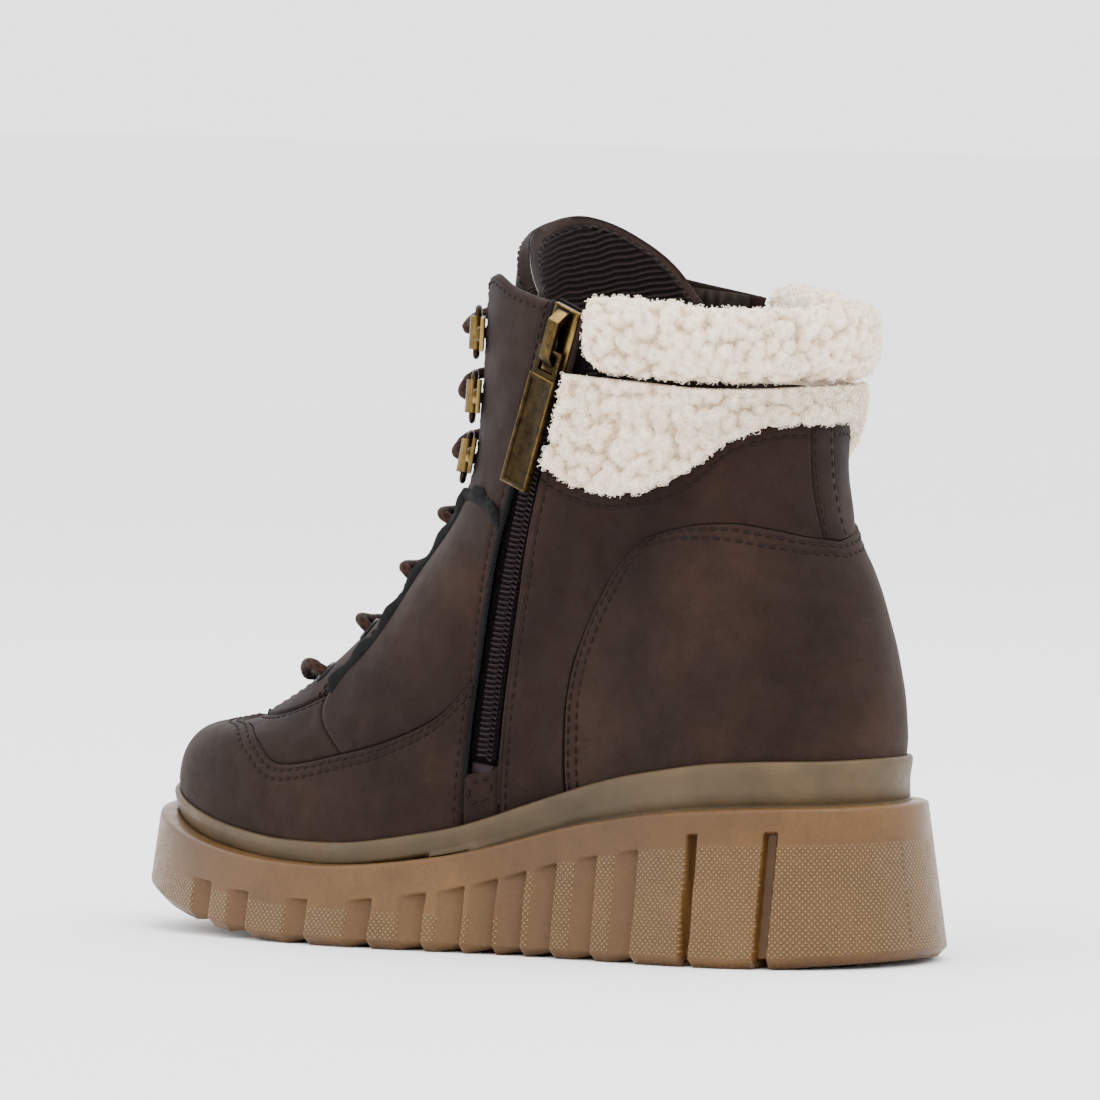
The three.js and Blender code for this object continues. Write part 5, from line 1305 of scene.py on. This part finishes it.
def zip_band(name, ahead0, ahead1):
    """One woven tape of the zip, between two distances ahead of its middle."""
    angles = np.linspace(zip_angle(ZIP_BOTTOM - 6), zip_angle(ZIP_TOP), 220)[:, None]
    ahead = np.linspace(ahead0, ahead1, 12)[None, :]
    outer = zip_point(angles, ahead, TAPE_X + 0.8 + 0.06 * np.sin(angles * 3000))
    inner = zip_point(angles, ahead, TAPE_X + 0 * angles)
    slab(f"{name}_cloth", outer, inner, "tape", M["tape"], replaces=[name])


def make_zip():
    zip_band("zip_tape_front", 0.15, TAPE)
    zip_band("zip_tape_rear", -TAPE, -0.15)
    pitch = 1.45
    for name, side in (("front", 1), ("rear", -1)):
        loops = []
        low, high = zip_angle(ZIP_BOTTOM), zip_angle(ZIP_TOP)
        count = int((high - low) * ZIP_RADIUS / pitch)
        t = np.linspace(0, 1, 17)
        for k in range(count):
            middle = low + (k + 0.5 + 0.25 * side) * pitch / ZIP_RADIUS
            # one turn of the coil: out over the top, round the nose, and back underneath
            reach = side * (COIL - 0.35 - (COIL + 0.15) * np.sin(math.pi * np.clip(t * 1.25, 0, 1)) ** 0.8)
            lift = COIL_X + 0.5 + (COIL_HEIGHT - 1.1) * (0.5 + 0.5 * np.cos(math.pi * t * 1.9 + 0.2))
            slant = middle + (t - 0.5) * 0.85 * pitch / ZIP_RADIUS
            loops.append(tube(zip_point(slant, reach, lift), 0.42, 7)[0])
        store(f"zip_coil_{name}_teeth", np.concatenate(loops), tubes_faces(count, 17, 7), "tape", M["coil"],
              replaces=[f"zip_coil_{name}"])
        angles = np.linspace(low, high, 260)
        cord_, faces = tube(zip_point(angles, side * (COIL - 0.7), COIL_X + COIL_HEIGHT / 2), 0.8, 8)
        store(f"zip_coil_{name}_core", cord_, faces, "tape", M["tape"])
        ridge = zip_point(angles, side * (COIL + 0.55), TAPE_X + 1.0)
        stitch(ridge, np.broadcast_to([1.0, 0, 0], ridge.shape), "boot", 1.7, 1.35, 0.2)


def make_slit_edges():
    """Folded, piped edges of the leather beside the zip, and the stitched box that ends it."""
    for name, ahead, material in (("front", SLIT + 0.3, M["black"]), ("rear", -(SLIT + 0.3), M["nubuck"])):
        s = np.linspace(0.1, 1.0, 200)
        phi = zip_phi(s, ahead)
        path = on_form(s, phi, 0.7)
        points, faces = tube(path, 0.85, 10)
        store(f"zip_piping_{name}", points, faces, "black" if name == "front" else "nubuck", material)
    corners = [(0.155, 3.2), (0.155, -3.2), (0.118, -3.2), (0.118, 3.2), (0.155, 3.2)]
    for (s0, a0), (s1, a1) in zip(corners[:-1], corners[1:]):
        t = np.linspace(0, 1, 16)
        s, ahead = s0 + (s1 - s0) * t, a0 + (a1 - a0) * t
        phi = np.array([float(zip_phi(a, b)) for a, b in zip(s, ahead)])
        stitch(on_form(s, phi, LEATHER + 0.25), form_normal(s, phi), "boot")
    s = np.linspace(0.04, 0.17, 24)[:, None]
    ahead = np.linspace(-SLIT - 0.3, SLIT + 0.3, 14)[None, :]
    s_, a_ = np.broadcast_arrays(s, ahead)
    phi = np.vectorize(lambda a, b: float(zip_phi(a, b)))(s_, a_)
    d = np.minimum(np.minimum((s_ - 0.04) * 150, (0.17 - s_) * 150), SLIT + 0.3 - np.abs(a_))
    rounding = np.sqrt(np.clip(1 - (1 - np.clip(d / 0.9, 0, 1)) ** 2, 0, 1))
    top, low = on_form(s_, phi, 0.3 + (LEATHER - 0.1) * rounding), on_form(s_, phi, 0 * phi)
    slab("zip_end_tab", top, low, "nubuck", M["nubuck"])


# ---- hardware: the CAD solids with rounded edges ----

def polish(node, slot, material, body="boot", bevel=0.25):
    """A copy of a CAD node with its edges rounded, standing for it."""
    source = next(o for o in bpy.data.objects if o.get("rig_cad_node") == node)
    mesh = source.data.copy()
    mesh.transform(source.matrix_world)
    obj = bpy.data.objects.new(f"{node}_finished", mesh)
    bpy.context.collection.objects.link(obj)
    modify(obj, "WELD", merge_threshold=1e-5)
    modify(obj, "DECIMATE", decimate_type="DISSOLVE", angle_limit=math.radians(2))
    modify(obj, "BEVEL", width=bevel * MM, segments=3, limit_method="ANGLE", angle_limit=math.radians(35))
    modify(obj, "WEIGHTED_NORMAL")
    obj.data.shade_smooth()
    return dress(obj, slot, material, body, [node])


def make_hardware():
    polish("zip_slider", "brass", M["brass"], "slider", 0.35)
    polish("zip_puller", "brass", M["brass"], "pull", 0.3)
    polish("zip_bottom_stop", "brass", M["coil"], "boot", 0.4)
    for name, side in SIDES.items():
        for k in range(1, 4):
            polish(f"ring_clip_{name}_{k}", "brass", M["brass"], "boot", 0.22)
            make_ring(name, side, k)
        for k in range(1, 5):
            make_eyelet(name, side, k)


def make_ring(name, side, k):
    """A wire lace ring: a round wire loop with its ends through the clip's barrel."""
    s, phi = RING_ROWS[k - 1]
    half, reach = 13 / 2 - RING_WIRE / 2, 9 - RING_WIRE / 2
    path = [(0, -half), (0, 0), (0, half), (0.25, half + 0.9), (0.6, half), (0.93, half * 0.6), (1, 0),
            (0.93, -half * 0.6), (0.6, -half), (0.25, -half - 0.9), (0, -half)]
    lift = LEATHER + 0.35 + 4.2 / 2
    at, at_phi = np.array(s, float), np.array(side * phi, float)
    around = unit(form(at, at_phi + 1) - form(at, at_phi - 1))
    out = form_normal(at, at_phi)
    up = unit(np.cross(out, around))
    centre = on_form(at, at_phi, np.array(lift))
    points = np.array([centre - side * x * reach * around + y * up for x, y in path])
    loop = dense(points, 0.45)[:-1]
    ring, faces = tube(loop, RING_WIRE / 2, 12, closed=True)
    store(f"lace_ring_{name}_{k}_wire", ring, faces, "brass", M["brass"], f"ring_{name}_{k}",
          replaces=[f"lace_ring_{name}_{k}"])


def make_eyelet(name, side, k):
    """A rolled eyelet: a smooth flange round the hole, turned from a profile."""
    s, phi = EYELET_ROWS[k - 1]
    at, at_phi = np.array(s, float), np.array(side * phi, float)
    around = unit(form(at, at_phi + 1) - form(at, at_phi - 1))
    out = form_normal(at, at_phi)
    up = unit(np.cross(out, around))
    base = on_form(at, at_phi, np.array(0.0))
    t = np.linspace(0, math.pi, 12)
    r = np.concatenate([[2.2, 2.2], 3.0 - 0.8 * np.cos(t), [3.75]])
    z = np.concatenate([[-0.2, 1.4], 2.05 + 0.62 * np.sin(t), [1.95]])
    turn = np.linspace(0, 2 * math.pi, 40, endpoint=False)
    ring = (base + (np.cos(turn)[:, None] * r[None])[..., None] * around
            + (np.sin(turn)[:, None] * r[None])[..., None] * up + z[None, :, None] * out)
    store(f"eyelet_{name}_{k}_rolled", ring, grid_faces(40, len(r), wrap=True), "black", M["eyelet"],
          replaces=[f"eyelet_{name}_{k}"])


# ---- lace ----

def lace_half(start, centre_lift):
    """The same route as the CAD lace, as points on the form."""
    barrel = LEATHER + 0.35 + 4.2 / 2
    over_leather = LEATHER + LACE / 2 + 0.7
    over_flange = LEATHER + 0.35 + 0.7 + LACE / 2 + 0.6
    over_ring = barrel + RING_WIRE / 2 + LACE / 2 + 0.8
    degrees = lambda s, phi, reach: reach / float(np.linalg.norm(form(s, phi + 0.5) - form(s, phi - 0.5)))
    holes = [dict(s=s, phi=phi, leave=0.6 * phi, over=over_flange, edge=over_leather, under=-LACE / 2 - 0.9)
             for s, phi in EYELET_ROWS]
    holes += [dict(s=s, phi=phi - degrees(s, phi, 4.7), leave=phi - degrees(s, phi, 8.5), over=over_ring,
                   edge=over_ring, under=0.4) for s, phi in RING_ROWS]
    first = holes[0]
    route = [(first["s"] - 0.012, start * first["phi"] * 0.55, first["over"]),
             (first["s"] - 0.002, start * (first["phi"] - 0.8), first["over"]),
             (first["s"], start * first["phi"], 1.4),
             (first["s"] + 0.002, start * (first["phi"] - 0.5), first["under"])]
    for k in range(1, len(holes)):
        side = start * (-1 if k % 2 else 1)
        a, b = holes[k - 1], holes[k]
        s = (a["s"] + b["s"]) / 2
        route += [(a["s"] + (s - a["s"]) * 0.4, -side * a["leave"], -2.3 if k == 1 else a["edge"]),
                  (s, 0, centre_lift),
                  ((s + b["s"]) / 2, side * b["phi"] * 0.55, min(b["under"], centre_lift - 0.6)),
                  (b["s"] - 0.002, side * (b["phi"] - 0.5), b["under"]),
                  (b["s"], side * b["phi"], (b["under"] + b["over"]) / 2),
                  (b["s"] + 0.002, side * (b["phi"] - 0.8), b["over"])]
    last = holes[-1]
    side = start * (1 if len(holes) % 2 else -1)
    route += [(last["s"] + 0.006, side * last["leave"], last["edge"]), (last["s"] + 0.016, 0, centre_lift),
              (last["s"] + 0.016, -side * 15, -2.4), (last["s"] + 0.012, -side * 33, -2.4)]
    s, phi, lift = np.array(route, float).T
    return on_form(s, phi, lift)


def make_lace():
    path = np.concatenate([lace_half(1, 3.2)[::-1], lace_half(-1, -1.3)])
    path = dense(path, 0.4)
    step = np.arange(len(path)) * 0.4
    turn = lambda k, a: 0.14 * np.maximum(np.sin(4 * a + 2.1 * step[k]), np.sin(4 * a - 2.1 * step[k]))
    points, faces = tube(path, LACE / 2 - 0.1, 16, wave=turn)
    k, a = np.arange(len(path))[:, None], np.linspace(0, 2 * math.pi, 16, endpoint=False)[None, :]
    strand = np.clip(0.5 + turn(k, a) / 0.28, 0, 1)
    store("lace_braided", points, faces, "lace", M["lace"], replaces=["lace"],
          attributes={"strand": strand.ravel()})
    print("lace length, mm:", round(float(np.linalg.norm(np.diff(path, axis=0), axis=1).sum())))


# node, slot, and how far its edges are rounded
HIDDEN = [("sole_filler", "foam", 1.0), ("shank", "steel", 0.3), ("insole_board", "board", 0.6),
          ("toe_puff", "board", 0.2), ("heel_stiffener", "board", 0.2), ("zip_guard", "felt", 0.3)]


def make_hidden():
    """Inner pieces keep their CAD shapes, rounded, with their own materials."""
    for node, slot, bevel in HIDDEN:
        polish(node, slot, M[slot], "boot", bevel)
    bed = polish("footbed", "felt", M["felt"], "boot", 1.6)
    modify(bed, "REMESH", mode="VOXEL", voxel_size=0.0016)
    modify(bed, "SMOOTH", factor=0.5, iterations=4)
    bed.data.shade_smooth()
    bed.data.materials.clear()
    bed.data.materials.append(M["felt"])


def make_threads():
    for body, rows in threads.items():
        points = np.concatenate(rows)
        count = len(points)
        store(f"seam_threads_{body}", points, tubes_faces(count, 7, 6), "lace", M["thread"], body)


make_outsole()
make_band()
make_mudguard()
make_vamp()
make_counter()
make_back_strip()
for side_name, side_sign in SIDES.items():
    make_quarter(side_name, side_sign)
    make_front(side_name, side_sign)
    make_rear_quarter(side_name, side_sign)
make_linings()
make_collar_panel()
make_cuff()
make_tongue()
make_loop()
make_zip()
make_slit_edges()
make_hardware()
make_lace()
make_hidden()
make_threads()


# ---- floor and light ----

def make_stage():
    floor = bpy.data.meshes.new("floor")
    reach = 6.0
    floor.from_pydata([(-reach, -reach, 0), (reach, -reach, 0), (reach, reach, 0), (-reach, reach, 0)], [],
                      [(0, 1, 2, 3)])
    obj = bpy.data.objects.new("floor", floor)
    bpy.context.collection.objects.link(obj)
    m = Shader("studio_floor", 0.9, Specular_IOR_Level=0.1)
    tone = m.ramp(m.noise(900, 2, 0.5), (0.3, "f4f4f4"), (0.7, "f7f7f7"))
    floor.materials.append(m.finish(Base_Color=tone))
    world = bpy.data.worlds.new("studio")
    bpy.context.scene.world = world
    world.use_nodes = True
    world.node_tree.nodes["Background"].inputs["Color"].default_value = (1, 1, 1, 1)
    world.node_tree.nodes["Background"].inputs["Strength"].default_value = 2.6


def lamp(name, azimuth, rise, distance, size, power):
    """A soft square lamp that looks at the boot."""
    light = bpy.data.lights.new(name, "AREA")
    light.size, light.energy = size, power
    obj = bpy.data.objects.new(name, light)
    bpy.context.collection.objects.link(obj)
    a, e = math.radians(azimuth), math.radians(rise)
    way = Vector((math.sin(a) * math.cos(e), -math.cos(a) * math.cos(e), math.sin(e)))
    target = Vector((0, 0, 0.09))
    obj.location = target + way * distance
    obj.rotation_mode = "QUATERNION"
    obj.rotation_quaternion = (-way).to_track_quat("-Z", "Y")


make_stage()
lamp("key", 175, 48, 1.4, 0.9, 11)
lamp("fill", 80, 30, 1.5, 1.1, 4)
lamp("top", 130, 82, 1.3, 1.0, 7)
lamp("rim", 320, 40, 1.6, 1.0, 5)
